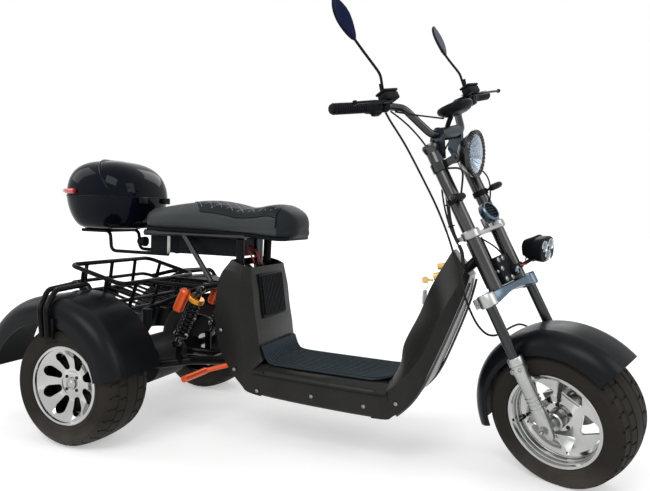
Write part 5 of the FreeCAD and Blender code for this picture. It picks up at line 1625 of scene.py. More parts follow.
@dataclass
class TopBox:
    """The glossy luggage box behind the seat, with a domed lid hinged at its front."""

    base: tuple = ((0.746, -0.328, -0.082, 0.128), (0.750, -0.342, -0.066, 0.142),
                   (0.770, -0.362, -0.048, 0.160), (0.810, -0.380, -0.032, 0.176),
                   (0.845, -0.388, -0.023, 0.184), (0.866, -0.390, -0.020, 0.187),
                   (0.873, -0.391, -0.019, 0.188))
    lid: tuple = ((0.879, -0.391, -0.019, 0.188), (0.886, -0.391, -0.019, 0.188),
                  (0.915, -0.389, -0.023, 0.186), (0.950, -0.381, -0.036, 0.178),
                  (0.980, -0.365, -0.058, 0.162), (1.003, -0.338, -0.090, 0.138),
                  (1.018, -0.300, -0.126, 0.104), (1.0245, -0.262, -0.165, 0.062))
    wall: float = 0.004
    middle: float = -0.205
    reflector: float = 0.0105
    rib: float = 0.0065

    def build(self) -> None:
        """Build the tub, the lid, its rib, the reflectors, the seal, the latch and the hinge."""
        tub = self._shell(self.base, True)
        tub.copy().thicken(self.wall).deliver("box_tub", BOX_BLACK_PAINTED_SKY, CHASSIS, ("box_base",), 30)
        dome = self._shell(self.lid, False)
        dome.copy().thicken(self.wall).deliver("box_dome", BOX_BLACK_PAINTED_SKY, LID, ("box_lid",), 30)
        self._rib(dome)
        for side in Side:
            turns = [math.pi + side.value * math.radians(6 + 8 * i) for i in range(10)]
            line = [(self.middle + 0.190 * bulged(math.cos(turn), 0.74),
                     0.192 * bulged(math.sin(turn), 0.74), 0.893) for turn in turns]
            lens = Piece.tube(line, self.reflector, 16)
            lens.bevel(0.001, 2).deliver(f"box_reflector_{side.word}", RED_LENS, LID)
        lip = [Vector(p) for p in squircle((self.middle, 0, 0.8755), 0.1845, 0.1865, 2.7, 48)]
        Piece.tube(lip + [lip[0]], 0.0030, 8, 3).deliver("box_seal", BLACK_PLASTIC, CHASSIS)
        latch = Piece.block((0.014, 0.060, 0.042), (-0.388, 0, 0.862)).bevel(0.005, 3)
        latch.deliver("box_latch", BLACK_PLASTIC, CHASSIS)
        hinges = [Piece.block((0.016, 0.042, 0.026), (-0.0175, y, 0.864)).bevel(0.004, 3)
                  for y in (-0.075, 0.075)]
        joined(hinges).deliver("box_hinge_blocks", BLACK_PLASTIC, CHASSIS)
        tub.drop()
        dome.drop()

    @staticmethod
    def _shell(rows: Sequence[Sequence[float]], foot: bool) -> Piece:
        """Skin one half of the box.

        Args:
            rows: the sections upward: height, rear, front and half width.
            foot: whether this is the lower half.

        Returns:
            The shell.
        """
        rings = [squircle(((rear + front) / 2, 0, z), (front - rear) / 2, half)
                 for z, rear, front, half in rows]
        shell = loft(rings, (foot, not foot))
        shell.choose(lambda place, normal: abs(normal.z) > 0.99)
        shell.inset(0.03, 0.0015 if foot else 0.0012).done()
        return shell.smooth(1)

    def _rib(self, dome: Piece) -> None:
        """Lay the raised rib over the lid, from its crown down and forward to each side.

        Args:
            dome: the lid's shell.
        """
        line = []
        for index in range(-19, 20):
            turn = math.radians(index * 4.9)
            x = -0.246 + 0.160 * abs(index / 19) ** 1.5
            way = Vector((0, math.sin(turn), math.cos(turn)))
            start = Vector((x, 0, 0.886)) + way * 0.5
            hit, place, _, _ = dome.obj.ray_cast(start, -way)
            if hit:
                line.append(place)
        Piece.tube(line, self.rib, 16).deliver("box_rib", BOX_BLACK_PAINTED_SKY, LID, (), 60)


# ------------------------------------------------------------------ fork
def oval_plate(corners: Sequence[tuple[float, float]], low: float, high: float,
               rounding: float) -> Piece:
    """Cut a flat plate, drawn in x and y, with rounded corners.

    Args:
        corners: (x, y) of its corners, in order.
        low: the height of its underside.
        high: the height of its top.
        rounding: the radius of its upright corners.

    Returns:
        The plate.
    """
    plate = Piece.plate(corners, high - low)
    plate.moved(Matrix.Rotation(math.pi / 2, 4, "X") @ Matrix.Scale(-1, 4, (0, 0, 1)))
    plate.outward()
    plate.moved(Matrix.Translation((0, 0, (low + high) / 2)))
    plate.choose(lambda place, way: abs(way.z) > 0.9, "EDGE")
    bpy.ops.mesh.bevel(offset=rounding, segments=5)
    return plate.done().bevel(0.0022, 2)


RAKE = 27.0
TUBE_X = 0.008
TUBE_Y = 0.078
TUBE_BORE = 0.0228


def tube_band(side: Side, at: float, outer: float, low: float, high: float,
              sides: int = 40) -> Piece:
    """Make a band round one of the fork's upper tubes.

    Args:
        side: which tube.
        at: the height that it is counted from.
        outer: its outer radius.
        low: its underside, from that height.
        high: its top, from that height.
        sides: steps round it.

    Returns:
        The band.
    """
    band = Piece.turned([(TUBE_BORE, low), (outer, low), (outer, high), (TUBE_BORE, high)],
                        sides, closed=True)
    return band.moved(Matrix.Translation((TUBE_X, side.value * TUBE_Y, at)))


@dataclass
class ForkLegs:
    """Sliders, stanchions, upper tubes and the two yokes."""

    leg: float = 0.133
    stanchion: float = 0.017
    slider: float = 0.023
    slider_top: float = 0.232
    tube: float = 0.0225
    tube_top: float = 0.950
    yoke: float = 0.424
    clamp: float = 0.637
    stem_x: float = -0.042

    def build(self) -> None:
        """Build the legs, the tubes and the yokes."""
        self._legs()
        self._tubes()
        self._lower_yoke()
        self._upper_clamp()

    def _legs(self) -> None:
        """Turn the sliders with their collars, and set the axle nuts and fender bolts."""
        top, radius = self.slider_top, self.slider
        sliders, nuts, rods = [], [], []
        for side in Side:
            y = side.value * self.leg
            leg = Piece.turned(
                [(0, -0.036), (0.010, -0.036), (0.015, -0.030), (0.017, -0.020),
                 (radius, 0.020), (radius, 0.060), (radius - 0.0015, 0.064),
                 (radius - 0.0015, 0.150), (radius - 0.0005, 0.154), (radius - 0.0005, 0.176),
                 (radius + 0.002, top - 0.040), (radius + 0.002, top - 0.034),
                 (radius, top - 0.032), (radius, top - 0.026), (radius + 0.0025, top - 0.024),
                 (radius + 0.0025, top - 0.004), (radius + 0.001, top),
                 (self.stanchion + 0.001, top + 0.001), (self.stanchion, top)], 48)
            for low in (0.066, 0.078, 0.090, 0.102):
                leg.join(Piece.hoop(radius - 0.0006, 0.0020, (0, 0, low)))
            lug = Piece.block((0.034, 0.016, 0.020), (0.002, -side.value * 0.018, 0.193))
            leg.join(lug.bevel(0.003, 2))
            sliders.append(leg.moved(Matrix.Translation((0, y, 0))))
            out = side.value
            nut = Piece.turned([(0, 0.010), (0.006, 0.010), (0.007, 0.008), (0.0125, 0.007),
                                (0.0125, 0.0), (0.017, 0.0), (0.017, -0.002), (0, -0.002)], 6)
            tip = Piece.turned([(0, 0.024), (0.004, 0.022), (0.007, 0.016), (0.007, 0.0)], 24)
            nut.join(tip).moved(facing((0, out, 0)))
            nuts.append(nut.moved(Matrix.Translation((0, out * (self.leg + radius - 0.002), 0))))
            for ahead in (-0.028, 0.026):
                nuts.append(bolt((ahead * 0.5, y + out * (radius - 0.003), 0.193),
                                 (0, out, 0), 0.0055, 0.004))
            rods.append(Piece.turned([(self.stanchion, top - 0.06), (self.stanchion, 0.444),
                                      (0, 0.444)], 48).moved(Matrix.Translation((0, y, 0))))
        joined(sliders).deliver("slider_legs", SILVER_ALLOY, STEERED, ("fork_sliders",), 32)
        joined(nuts).deliver("fork_nuts", GREY_STEEL, STEERED, (), 30)
        joined(rods).deliver("stanchion_tubes", DARK_TUBE, STEERED, ("stanchions",), 32)

    def _tubes(self) -> None:
        """Turn the upper tubes with their flared caps."""
        tubes, caps = [], []
        for side in Side:
            place = Matrix.Translation((TUBE_X, side.value * TUBE_Y, 0))
            radius, top = self.tube, self.tube_top
            tube = Piece.turned([(radius, 0.440), (radius, top - 0.004), (radius - 0.002, top)], 48)
            tubes.append(tube.moved(place))
            cap = Piece.turned([(radius - 0.001, top - 0.022), (radius + 0.0025, top - 0.014),
                                (radius + 0.0055, top - 0.002), (radius + 0.0060, top + 0.004),
                                (radius + 0.0035, top + 0.010), (radius - 0.004, top + 0.013),
                                (0.009, top + 0.014), (0.008, top + 0.009), (0, top + 0.009)], 48)
            caps.append(cap.moved(place))
        joined(tubes).deliver("upper_fork_tubes", BRONZE_TUBE, STEERED, ("upper_tubes",), 32)
        joined(caps).deliver("tube_caps", BRONZE_TUBE, STEERED, (), 32)

    def _lower_yoke(self) -> None:
        """Cast the arched lower yoke, its bosses and pinch lugs; the right boss is silver and the left one dark,
        as painted light and shade.
        """
        low, high = self.yoke - 0.021, self.yoke + 0.021
        plate = oval_plate([(-0.066, -0.034), (-0.020, -0.128), (0.024, -0.126), (0.034, -0.078),
                            (0.030, 0.0), (0.034, 0.078), (0.024, 0.126), (-0.020, 0.128),
                            (-0.066, 0.034)], low + 0.003, high - 0.002, 0.012)
        arch = Piece.rod(0.42, (-0.2, 0, low + 0.018 - 0.42), (0.2, 0, low + 0.018 - 0.42), 128)
        plate.cut(arch).bevel(0.002, 2)
        plate.join(Piece.rod(0.015, (self.stem_x, 0, low + 0.017),
                             (self.stem_x, 0, self.clamp + 0.020), 32))
        plate.deliver("yoke_casting", YOKE_ALLOY, STEERED, ("lower_clamp",), 32)
        for side in Side:
            out = side.value
            ring = Piece.turned([(0.0175, low), (0.0265, low), (0.0290, low + 0.003),
                                 (0.0290, high - 0.004), (0.0265, high), (0.0175, high)], 48,
                                closed=True)
            ears = [Piece.block((0.036, 0.0090, 0.032), (-0.030, y, self.yoke)).bevel(0.003, 2)
                    for y in (-0.0065, 0.0065)]
            ring.join(*ears)
            ring.join(bolt((-0.033, out * 0.011, self.yoke), (0, out, 0), 0.006, 0.005))
            ring.moved(Matrix.Translation((0, out * self.leg, 0)))
            # Silver right boss and dark left boss: painted light on the right, where the lamps fall, and painted
            # shade on the left.
            finish = SILVER_ALLOY if side is Side.RIGHT else YOKE_ALLOY
            ring.deliver(f"yoke_boss_{side.word}", finish, STEERED, (), 32)

    def _upper_clamp(self) -> None:
        """Cut the thin upper plate and its rings."""
        low = self.clamp - 0.013
        plate = oval_plate([(-0.064, -0.024), (-0.016, -0.086), (0.038, -0.078), (0.038, 0.078),
                            (-0.016, 0.086), (-0.064, 0.024)], low, low + 0.012, 0.010)
        window = Piece.block((0.018, 0.052, 0.06), (0.012, 0, low)).bevel(0.007, 4)
        plate.cut(window)
        nut = Piece.turned([(0, 0.012), (0.014, 0.012), (0.016, 0.009), (0.016, 0)], 6)
        plate.join(nut.moved(Matrix.Translation((self.stem_x, 0, self.clamp + 0.006))))
        plate.deliver("upper_plate", SILVER_ALLOY, STEERED, ("upper_clamp",), 32)
        rings = []
        for side in Side:
            radius = self.tube
            ring = Piece.turned([(radius, low - 0.001), (radius + 0.007, low - 0.001),
                                 (radius + 0.009, low + 0.002), (radius + 0.009, low + 0.022),
                                 (radius + 0.006, low + 0.026), (radius, low + 0.026)], 48,
                                closed=True)
            ring.join(Piece.block((0.020, 0.018, 0.016), (-radius - 0.014, 0, low + 0.012)).bevel(
                0.003, 2))
            rings.append(ring.moved(Matrix.Translation(
                (TUBE_X, side.value * TUBE_Y, 0))))
        joined(rings).deliver("upper_rings", GREY_STEEL, STEERED, (), 32)


# ------------------------------------------------------------------ lamps
@dataclass
class Headlight:
    """The round headlight: bucket, ribbed dark ring, reflector and lens."""

    radius: float = 0.076
    at: Point = (0.107, 0.0, 0.868)
    rake: float = RAKE
    turn: float = 11.0

    def build(self) -> None:
        """Build the lamp and its brackets."""
        level = Matrix.Rotation(math.radians(self.rake), 4, "Y")
        aside = Matrix.Rotation(math.radians(self.turn), 4, "Z")
        ahead = Matrix.Rotation(math.radians(90), 4, "Y")
        place = STEERED @ Matrix.Translation(self.at) @ level @ aside @ ahead
        r = self.radius
        bucket = Piece.turned([(r - 0.004, -0.012), (r - 0.008, -0.020), (r - 0.020, -0.036),
                               (r - 0.034, -0.050), (r - 0.050, -0.058), (0, -0.060)], 64)
        bucket.deliver("headlight_bucket", DARK_TUBE, place, ("headlight",), 40)
        ring = Piece.turned([(r - 0.004, -0.014), (r, -0.012), (r + 0.001, -0.004),
                             (r - 0.001, 0.001), (r - 0.005, 0.002), (r - 0.012, -0.002),
                             (r - 0.012, -0.010)], 72, closed=True)
        step = 2 * math.pi / 72
        ring.choose(lambda place, normal: normal.z > 0.2 and
                    math.atan2(place.y, place.x) % (2 * step) < step)
        ring.push(0.0016).done()
        ring.deliver("headlight_ring", DARK_TUBE, place, (), 30)
        mirror = Piece.turned([(r - 0.011, -0.003), (r - 0.022, -0.016), (r - 0.042, -0.028),
                               (0.012, -0.034), (0, -0.034)], 48)
        mirror.choose(lambda place, normal: math.atan2(place.y, place.x) % (4 * step) < 2 * step
                      and math.hypot(place.x, place.y) > 0.02)
        mirror.push(0.0018).done()
        mirror.deliver("headlight_mirror", LAMP_MIRROR, place, (), 20)
        bulb = Piece.ball((0.011, 0.011, 0.013), (0, 0, -0.022))
        bulb.join(Piece.hoop(0.017, 0.0025, (0, 0, -0.022)))
        bulb.deliver("headlight_bulb", PALE_PLASTIC, place)
        lens = Piece.turned([(r - 0.0118, -0.002), (r - 0.020, 0.0015), (r - 0.040, 0.005),
                             (0.018, 0.007), (0, 0.0075)], 64)
        lens.thicken(0.002)
        lens.deliver("headlight_lens", LAMP_GLASS, place, (), 50)
        brackets = []
        for side in Side:
            y = side.value * TUBE_Y
            brackets.append(tube_band(side, 0.864, 0.0270, 0, 0.030, 48))
            arm = Piece.block((0.062, 0.006, 0.026), (0.058, y * 0.98, 0.879)).bevel(0.0015, 2)
            brackets.append(arm)
            brackets.append(bolt((0.083, y + side.value * 0.001, 0.879), (0, side.value, 0),
                                 0.007, 0.005))
        brackets.append(Piece.rod(0.007, (0.040, -TUBE_Y, 0.878), (0.040, TUBE_Y, 0.878), 20))
        joined(brackets).deliver("headlight_brackets", DARK_TUBE, STEERED, (), 30)


@dataclass
class HornAndSignals:
    """The barred horn between the tubes, and the two turn signals."""

    horn_at: Point = (0.034, 0.010, 0.678)
    horn: float = 0.036
    signal: float = 0.757

    def build(self) -> None:
        """Build the horn and the signals."""
        tilt = math.atan2(0.006, 0.028)
        place = (STEERED @ Matrix.Translation(self.horn_at)
                 @ Matrix.Rotation(math.pi / 2 - tilt, 4, "Y"))
        r = self.horn
        shell = Piece.turned([(0, -0.002), (r - 0.008, -0.002), (r - 0.001, 0.004), (r, 0.010),
                              (r, 0.024), (r - 0.003, 0.028), (r - 0.008, 0.028),
                              (r - 0.008, 0.018), (0, 0.018)], 48)
        shell.deliver("horn_shell", YOKE_ALLOY, place, ("horn",), 32)
        bars = []
        for index in range(-2, 3):
            x = index * 0.0105
            half = math.sqrt((r - 0.009) ** 2 - x ** 2)
            bars.append(Piece.block((0.0055, 2 * half, 0.005), (x, 0, 0.024)).bevel(0.001, 2))
        joined(bars).deliver("horn_bars", BLACK_PLASTIC, place)
        tab = Piece.block((0.024, 0.020, 0.040), (0.024, 0.010, 0.652)).bevel(0.002, 2)
        tab.deliver("horn_tab", GREY_STEEL, STEERED)
        housings, lenses = [], []
        for side in Side:
            out = side.value
            housings.append(tube_band(side, self.signal, 0.0262, -0.009, 0.009))
            housings.append(Piece.rod(0.0045, (0.028, out * TUBE_Y, self.signal),
                                      (0.050, out * 0.088, self.signal), 20))
            body = Piece.turned([(0, 0), (0.008, 0.001), (0.0110, 0.008), (0.0115, 0.046),
                                 (0.0105, 0.060), (0.0100, 0.062)], 32)
            spot = facing((0, out, 0.08), (0.050, out * 0.082, self.signal))
            housings.append(body.moved(spot))
            lens = Piece.turned([(0.0100, 0.060), (0.0090, 0.066), (0.005, 0.0695), (0, 0.0705)],
                                32)
            lenses.append(lens.moved(spot))
        joined(housings).deliver("signal_housings", BLACK_PLASTIC, STEERED, ("front_signals",), 32)
        joined(lenses).deliver("signal_lenses", SMOKED_LENS, STEERED, (), 40)


@dataclass
class SpotLamp:
    """The cast spot lamp on its arm, with cooling fins and three lenses."""

    at: Point = (0.052, 0.178, 0.512)
    depth: float = 0.084
    width: float = 0.100
    height: float = 0.084
    rake: float = RAKE

    def build(self) -> None:
        """Build the lamp, its lens, its arm and its wire."""
        level = Matrix.Rotation(math.radians(self.rake), 4, "Y")
        place = STEERED @ Matrix.Translation(self.at) @ level
        front = self.depth / 2
        rings = []
        for x, share in ((-front, 0.42), (-front + 0.004, 0.52), (-0.020, 0.74), (0.004, 0.95),
                         (front - 0.012, 1.0), (front - 0.004, 1.0), (front, 0.95)):
            ring = squircle((0, 0, 0), self.height / 2 * share, self.width / 2 * share, 3.2, 32)
            rings.append([(x, y, z) for z, y, _ in ring])
        body = loft(rings, (True, True)).bevel(0.0012, 2, 40)
        fins = []
        for index in range(5):
            x = -front + 0.008 + index * 0.0085
            share = 0.56 + 0.085 * index
            ring = squircle((0, 0, 0), self.height / 2 * share + 0.006,
                            self.width / 2 * share + 0.006, 3.2, 32)
            fins.append(loft([[(x + shift, y, z) for z, y, _ in ring]
                              for shift in (0, 0.0030)], (True, True)))
        body.join(*fins)
        body.deliver("spot_body", BLACK_PLASTIC, place, ("spot_lamp",), 30)
        eyes, glows = [], []
        for y, z in ((-0.022, 0.014), (0.022, 0.014), (0.0, -0.020)):
            cup = Piece.turned([(0.0195, 0.001), (0.0180, 0.0035), (0.0160, 0.001),
                                (0.009, -0.004), (0, -0.005)], 32)
            turn = facing((1, 0, 0), (front, y, z))
            eyes.append(cup.moved(turn))
            glow = Piece.turned([(0.0155, 0.001), (0.010, 0.004), (0, 0.0055)], 32)
            glows.append(glow.moved(turn))
        joined(eyes).deliver("spot_cups", RIM_POLISH, place)
        joined(glows).deliver("spot_lenses", LAMP_MIRROR, place, (), 60)
        arm = Piece.tube([(0.020, 0.098, self.at[2] - 0.031), (0.034, 0.124, self.at[2] - 0.034),
                          (0.046, 0.150, self.at[2] - 0.026), (0.050, 0.170, self.at[2] - 0.020)],
                         0.0065, 16)
        arm.join(tube_band(Side.LEFT, self.at[2] - 0.040, 0.0275, 0.0, 0.020))
        arm.deliver("spot_arm", BLACK_PAINT, STEERED)
        wire = Piece.tube([(0.020, 0.160, self.at[2] - 0.010), (0.010, 0.140, self.at[2] - 0.030),
                           (0.030, 0.120, self.at[2] - 0.046), (0.040, 0.090, self.at[2] - 0.030),
                           (0.034, 0.050, self.at[2] - 0.030)], 0.0022, 10)
        wire.deliver("spot_wire", RED_WIRE, STEERED)


@dataclass
class WiringBlock:
    """The wiring block above the lower yoke, with the small round lamp on it."""

    foot: float = 0.445
    eye: float = 0.020

    def build(self) -> None:
        """Build the block, its bolt heads and the round lamp."""
        block = Piece.block((0.034, 0.088, 0.092), (0.014, 0, self.foot + 0.048))
        corner = Piece.block((0.10, 0.054, 0.054), (0.014, 0.048, self.foot + 0.100), (45, 0, 0))
        block.cut(corner)
        for side in Side:
            y = side.value * TUBE_Y
            block.cut(Piece.rod(TUBE_BORE, (TUBE_X, y, self.foot - 0.01),
                                (TUBE_X, y, self.foot + 0.12), 48))
        block.bevel(0.003, 2)
        block.deliver("wiring_block_case", BLACK_PLASTIC, STEERED, ("wiring_block",), 30)
        heads = [bolt((0.0305, y, self.foot + z), (1, 0, 0), 0.006, 0.004)
                 for y, z in ((-0.030, 0.016), (-0.030, 0.052), (-0.030, 0.082), (-0.004, 0.082),
                              (0.004, 0.014))]
        heads += [bolt((x, -0.0435, self.foot + z), (0, -1, 0), 0.006, 0.004)
                  for x, z in ((0.006, 0.020), (0.020, 0.048), (0.006, 0.078))]
        joined(heads).deliver("block_bolts", GREY_STEEL, STEERED)
        r = self.eye
        place = (STEERED @ Matrix.Translation((0.026, 0.032, self.foot + 0.036))
                 @ Matrix.Rotation(math.radians(RAKE + 90), 4, "Y"))
        bezel = Piece.turned([(0, 0), (r - 0.002, 0.0), (r, 0.003), (r, 0.016), (r - 0.002, 0.020),
                              (r - 0.004, 0.019), (r - 0.004, 0.014)], 40)
        bezel.deliver("round_lamp_bezel", BLACK_PLASTIC, place, ("round_lamp",), 32)
        ball = Piece.turned([(r - 0.004, 0.015), (r - 0.006, 0.020), (r - 0.011, 0.0235),
                             (0.0062, 0.0245)], 40)
        ball.deliver("round_lamp_lens", LAMP_MIRROR, place, (), 60)
        pupil = Piece.turned([(0.0064, 0.0235), (0.005, 0.0258), (0, 0.0265)], 32)
        pupil.deliver("round_lamp_core", NAVY_GLASS_PAINTED_REFLECTION, place, (), 60)


# ------------------------------------------------------------------ handlebar
@dataclass
class HandControls:
    """Grips, switch pods, brake reservoirs and levers, laid out along the bar."""

    bar_x: float = 0.040
    bar_z: float = 0.980
    rise: float = 0.112
    end_rise: float = 0.146
    end_y: float = 0.432
    sweep: float = 0.044
    grip: float = 0.135
    grip_radius: float = 0.0175

    def build(self) -> None:
        """Build both ends of the bar."""
        grips, pods, tanks, levers = [], [], [], []
        for side in Side:
            grips.append(self._grip(side))
            pods += self._pod(side)
            tanks += self._reservoir(side)
            levers.append(self._lever(side))
        joined(grips).deliver("ribbed_grips", GRIP_RUBBER, STEERED, ("grips",), 32)
        joined(pods + tanks).deliver("switch_pods", BLACK_PLASTIC, STEERED, ("hand_controls",), 32)
        joined(levers).deliver("lever_blades", BLACK_PAINT, STEERED, ("brake_levers",), 40)

    def along(self, side: Side, reach: float) -> Vector:
        """Find a point on the bar's outer straight, back from its end.

        Args:
            side: which side of the machine.
            reach: the distance in from the bar's end.

        Returns:
            The point.
        """
        y = side.value
        end = Vector((self.bar_x - self.sweep, y * self.end_y, self.bar_z + self.end_rise))
        inner = Vector((self.bar_x - 0.015, y * 0.212, self.bar_z + self.rise + 0.012))
        return end + (inner - end).normalized() * reach

    def _axis(self, side: Side, reach: float) -> Matrix:
        """Give the frame at a point on the bar, its z axis inward along the bar.

        Args:
            side: which side of the machine.
            reach: the distance in from the bar's end.

        Returns:
            The frame.
        """
        start = self.along(side, reach)
        way = self.along(side, reach + 0.1) - start
        return Matrix.Translation(start) @ way.to_track_quat("Z", "X").to_matrix().to_4x4()

    def _grip(self, side: Side) -> Piece:
        """Turn a grip with its ribs and bar end.

        Args:
            side: which side of the machine.

        Returns:
            The grip.
        """
        r = self.grip_radius
        profile = [(0, -0.010), (0.011, -0.010), (0.0145, -0.007), (0.0145, -0.001),
                   (r, 0.000), (r, 0.004)]
        for index in range(13):
            z = 0.010 + index * 0.0088
            profile += [(r - 0.0022, z - 0.0028), (r - 0.0022, z), (r, z + 0.0012),
                        (r, z + 0.0044)]
        profile += [(r + 0.003, self.grip - 0.006), (r + 0.003, self.grip), (0.0135, self.grip)]
        return Piece.turned(profile, 36).moved(self._axis(side, 0))

    def _pod(self, side: Side) -> list[Piece]:
        """Shape a switch pod with its buttons and clamp seam.

        Args:
            side: which side of the machine.

        Returns:
            The pod's pieces.
        """
        place = self._axis(side, self.grip + 0.002)
        pod = Piece.turned([(0.0135, 0), (0.0190, 0.000), (0.0215, 0.004), (0.0220, 0.018),
                            (0.0205, 0.0195), (0.0205, 0.0215), (0.0220, 0.023),
                            (0.0215, 0.040), (0.0180, 0.045), (0.0135, 0.045)], 32)
        under = Piece.block((0.034, 0.026, 0.034), (-0.012, 0.0, 0.022)).bevel(0.007, 3)
        parts = [pod.moved(place), under.moved(place)]
        for z, size in ((0.010, 0.005), (0.022, 0.0065), (0.034, 0.005)):
            knob = Piece.block((0.010, size * 2, size * 1.6), (0.004, -0.0215, z)).bevel(0.0015, 2)
            parts.append(knob.moved(place))
        return parts

    def _clamp(self, side: Side) -> tuple[Vector, Vector]:
        """Give the two ends of the brake cylinder's clamp on the bar."""
        return self.along(side, self.grip + 0.052), self.along(side, self.grip + 0.076)

    def _reservoir(self, side: Side) -> list[Piece]:
        """Shape the brake cylinder's clamp and its rounded reservoir.

        Args:
            side: which side of the machine.

        Returns:
            The reservoir's pieces.
        """
        outer, inner = self._clamp(side)
        middle = (outer + inner) / 2
        clamp = Piece.rod(0.0185, outer, inner, 32).bevel(0.002, 2)
        tank = Piece.block((0.038, 0.064, 0.026), (middle.x + 0.032, middle.y, middle.z + 0.014))
        tank.bevel(0.006, 3)
        cap = Piece.block((0.041, 0.067, 0.008), (middle.x + 0.032, middle.y, middle.z + 0.031))
        cap.bevel(0.0025, 2)
        bridge = Piece.block((0.030, 0.022, 0.018), (middle.x + 0.014, middle.y, middle.z + 0.006))
        parts = [clamp, tank, cap, bridge.bevel(0.003, 2)]
        for x, y in ((-0.012, -0.024), (0.012, 0.024)):
            parts.append(bolt((middle.x + 0.032 + x, middle.y + y, middle.z + 0.0345), (0, 0, 1),
                              0.0035, 0.002))
        return parts

    def _lever(self, side: Side) -> Piece:
        """Draw a brake lever's blade with its ball end.

        Args:
            side: which side of the machine.

        Returns:
            The lever.
        """
        out = side.value
        middle = sum(self._clamp(side), Vector()) / 2
        root = Vector((middle.x + 0.034, middle.y, middle.z - 0.001))
        tip = self.along(side, 0.024) + Vector((0.062, 0, -0.016))
        points = [root, root + Vector((0.012, out * 0.034, -0.010)), root.lerp(tip, 0.45)
                  + Vector((0.008, 0, -0.004)), root.lerp(tip, 0.75) + Vector((0.004, 0, 0)), tip]
        blade = Piece.tube(points, 0.0058, 16)
        blade.moved(Matrix.Translation(root) @ Matrix.Diagonal((1, 1, 0.72, 1))
                    @ Matrix.Translation(-root))
        return blade.join(Piece.ball((0.0085, 0.0085, 0.0075), tip))


@dataclass
class Mirrors:
    """Two leaf-shaped mirrors on thin bent stems."""

    rows: tuple = ((Side.RIGHT, 0.062, 1.196, (0.072, 0.300, 1.318), (0.103, 0.352, 1.426)),
                   (Side.LEFT, 0.044, 1.196, (0.008, 0.258, 1.300), (-0.008, 0.298, 1.424)))
    width: float = 0.066
    root_reach: float = 0.199

    def build(self) -> None:
        """Build both mirrors, with their stems rooted on the bar's clamps."""
        stems, backs, glasses = [], [], []
        controls = HandControls()
        for side, elbow_x, elbow_z, low, tip in self.rows:
            out = side.value
            foot = controls.along(side, self.root_reach) + Vector((0.010, 0, 0.015))
            low = Vector((low[0], out * low[1], low[2]))
            tip = Vector((tip[0], out * tip[1], tip[2]))
            elbow = Vector((elbow_x, foot.y, elbow_z))
            stem = Piece.tube([foot, foot.lerp(elbow, 0.8), elbow, elbow.lerp(low, 0.25), low,
                               low.lerp(tip, 0.16)], 0.0045, 16)
            stem.join(Piece.rod(0.009, foot - Vector((0.002, 0, 0.006)),
                                foot + Vector((0.010, 0, 0.026)), 24).bevel(0.002, 2))
            stem.join(Piece.rod(0.0075, foot + Vector((0.008, 0, 0.024)),
                                foot + Vector((0.016, 0, 0.050)), 6))
            stem.join(Piece.ball((0.0085, 0.0085, 0.0085), low.lerp(tip, 0.14)))
            stems.append(stem)
            span = (tip - low).normalized()
            across = span.cross(Vector((-1, 0, 0.5))).normalized()
            depth = span.cross(across).normalized()
            place = framed(span, across, depth, (low + tip) / 2)
            back, glass = self._leaf((tip - low).length / 2 + 0.008)
            backs.append(back.moved(place))
            glasses.append(glass.moved(place))
        joined(stems).deliver("mirror_stems", BLACK_PAINT, STEERED, ("mirrors",), 40)
        joined(backs).deliver("mirror_backs", BLACK_PLASTIC, STEERED, (), 50)
        # The mirror glass is drawn dull navy: painted reflection.
        joined(glasses).deliver("mirror_glasses", NAVY_GLASS_PAINTED_REFLECTION, STEERED, (), 40)

    def _leaf(self, half: float) -> tuple[Piece, Piece]:
        """Shape one leaf: narrow at the stem, widest past the middle, pointed at the tip.

        Args:
            half: half the leaf's length.

        Returns:
            The domed back and the glass.
        """
        outline = ((-1.0, 0.10), (-0.90, 0.34), (-0.66, 0.62), (-0.30, 0.88), (0.06, 1.0),
                   (0.38, 0.94), (0.66, 0.72), (0.86, 0.42), (0.97, 0.16), (1.0, 0.04))
        rings, faces = [], []
        for x, share in outline:
            w = self.width / 2 * share
            rings.append([(x * half, -w, 0.004), (x * half, -w * 0.97, -0.001),
                          (x * half, -w * 0.60, -0.0065 * share - 0.001),
                          (x * half, 0, -0.0085 * share - 0.001),
                          (x * half, w * 0.60, -0.0065 * share - 0.001),
                          (x * half, w * 0.97, -0.001), (x * half, w, 0.004),
                          (x * half, w * 0.9, 0.0056), (x * half, 0, 0.0056),
                          (x * half, -w * 0.9, 0.0056)])
            inner = max(w - 0.004, 0.0005)
            faces.append([(x * half * 0.94, -inner, 0.0050), (x * half * 0.94, inner, 0.0050),
                          (x * half * 0.94, inner, 0.0068), (x * half * 0.94, -inner, 0.0068)])
        return loft(rings, (True, True)).smooth(1), loft(faces, (True, True))


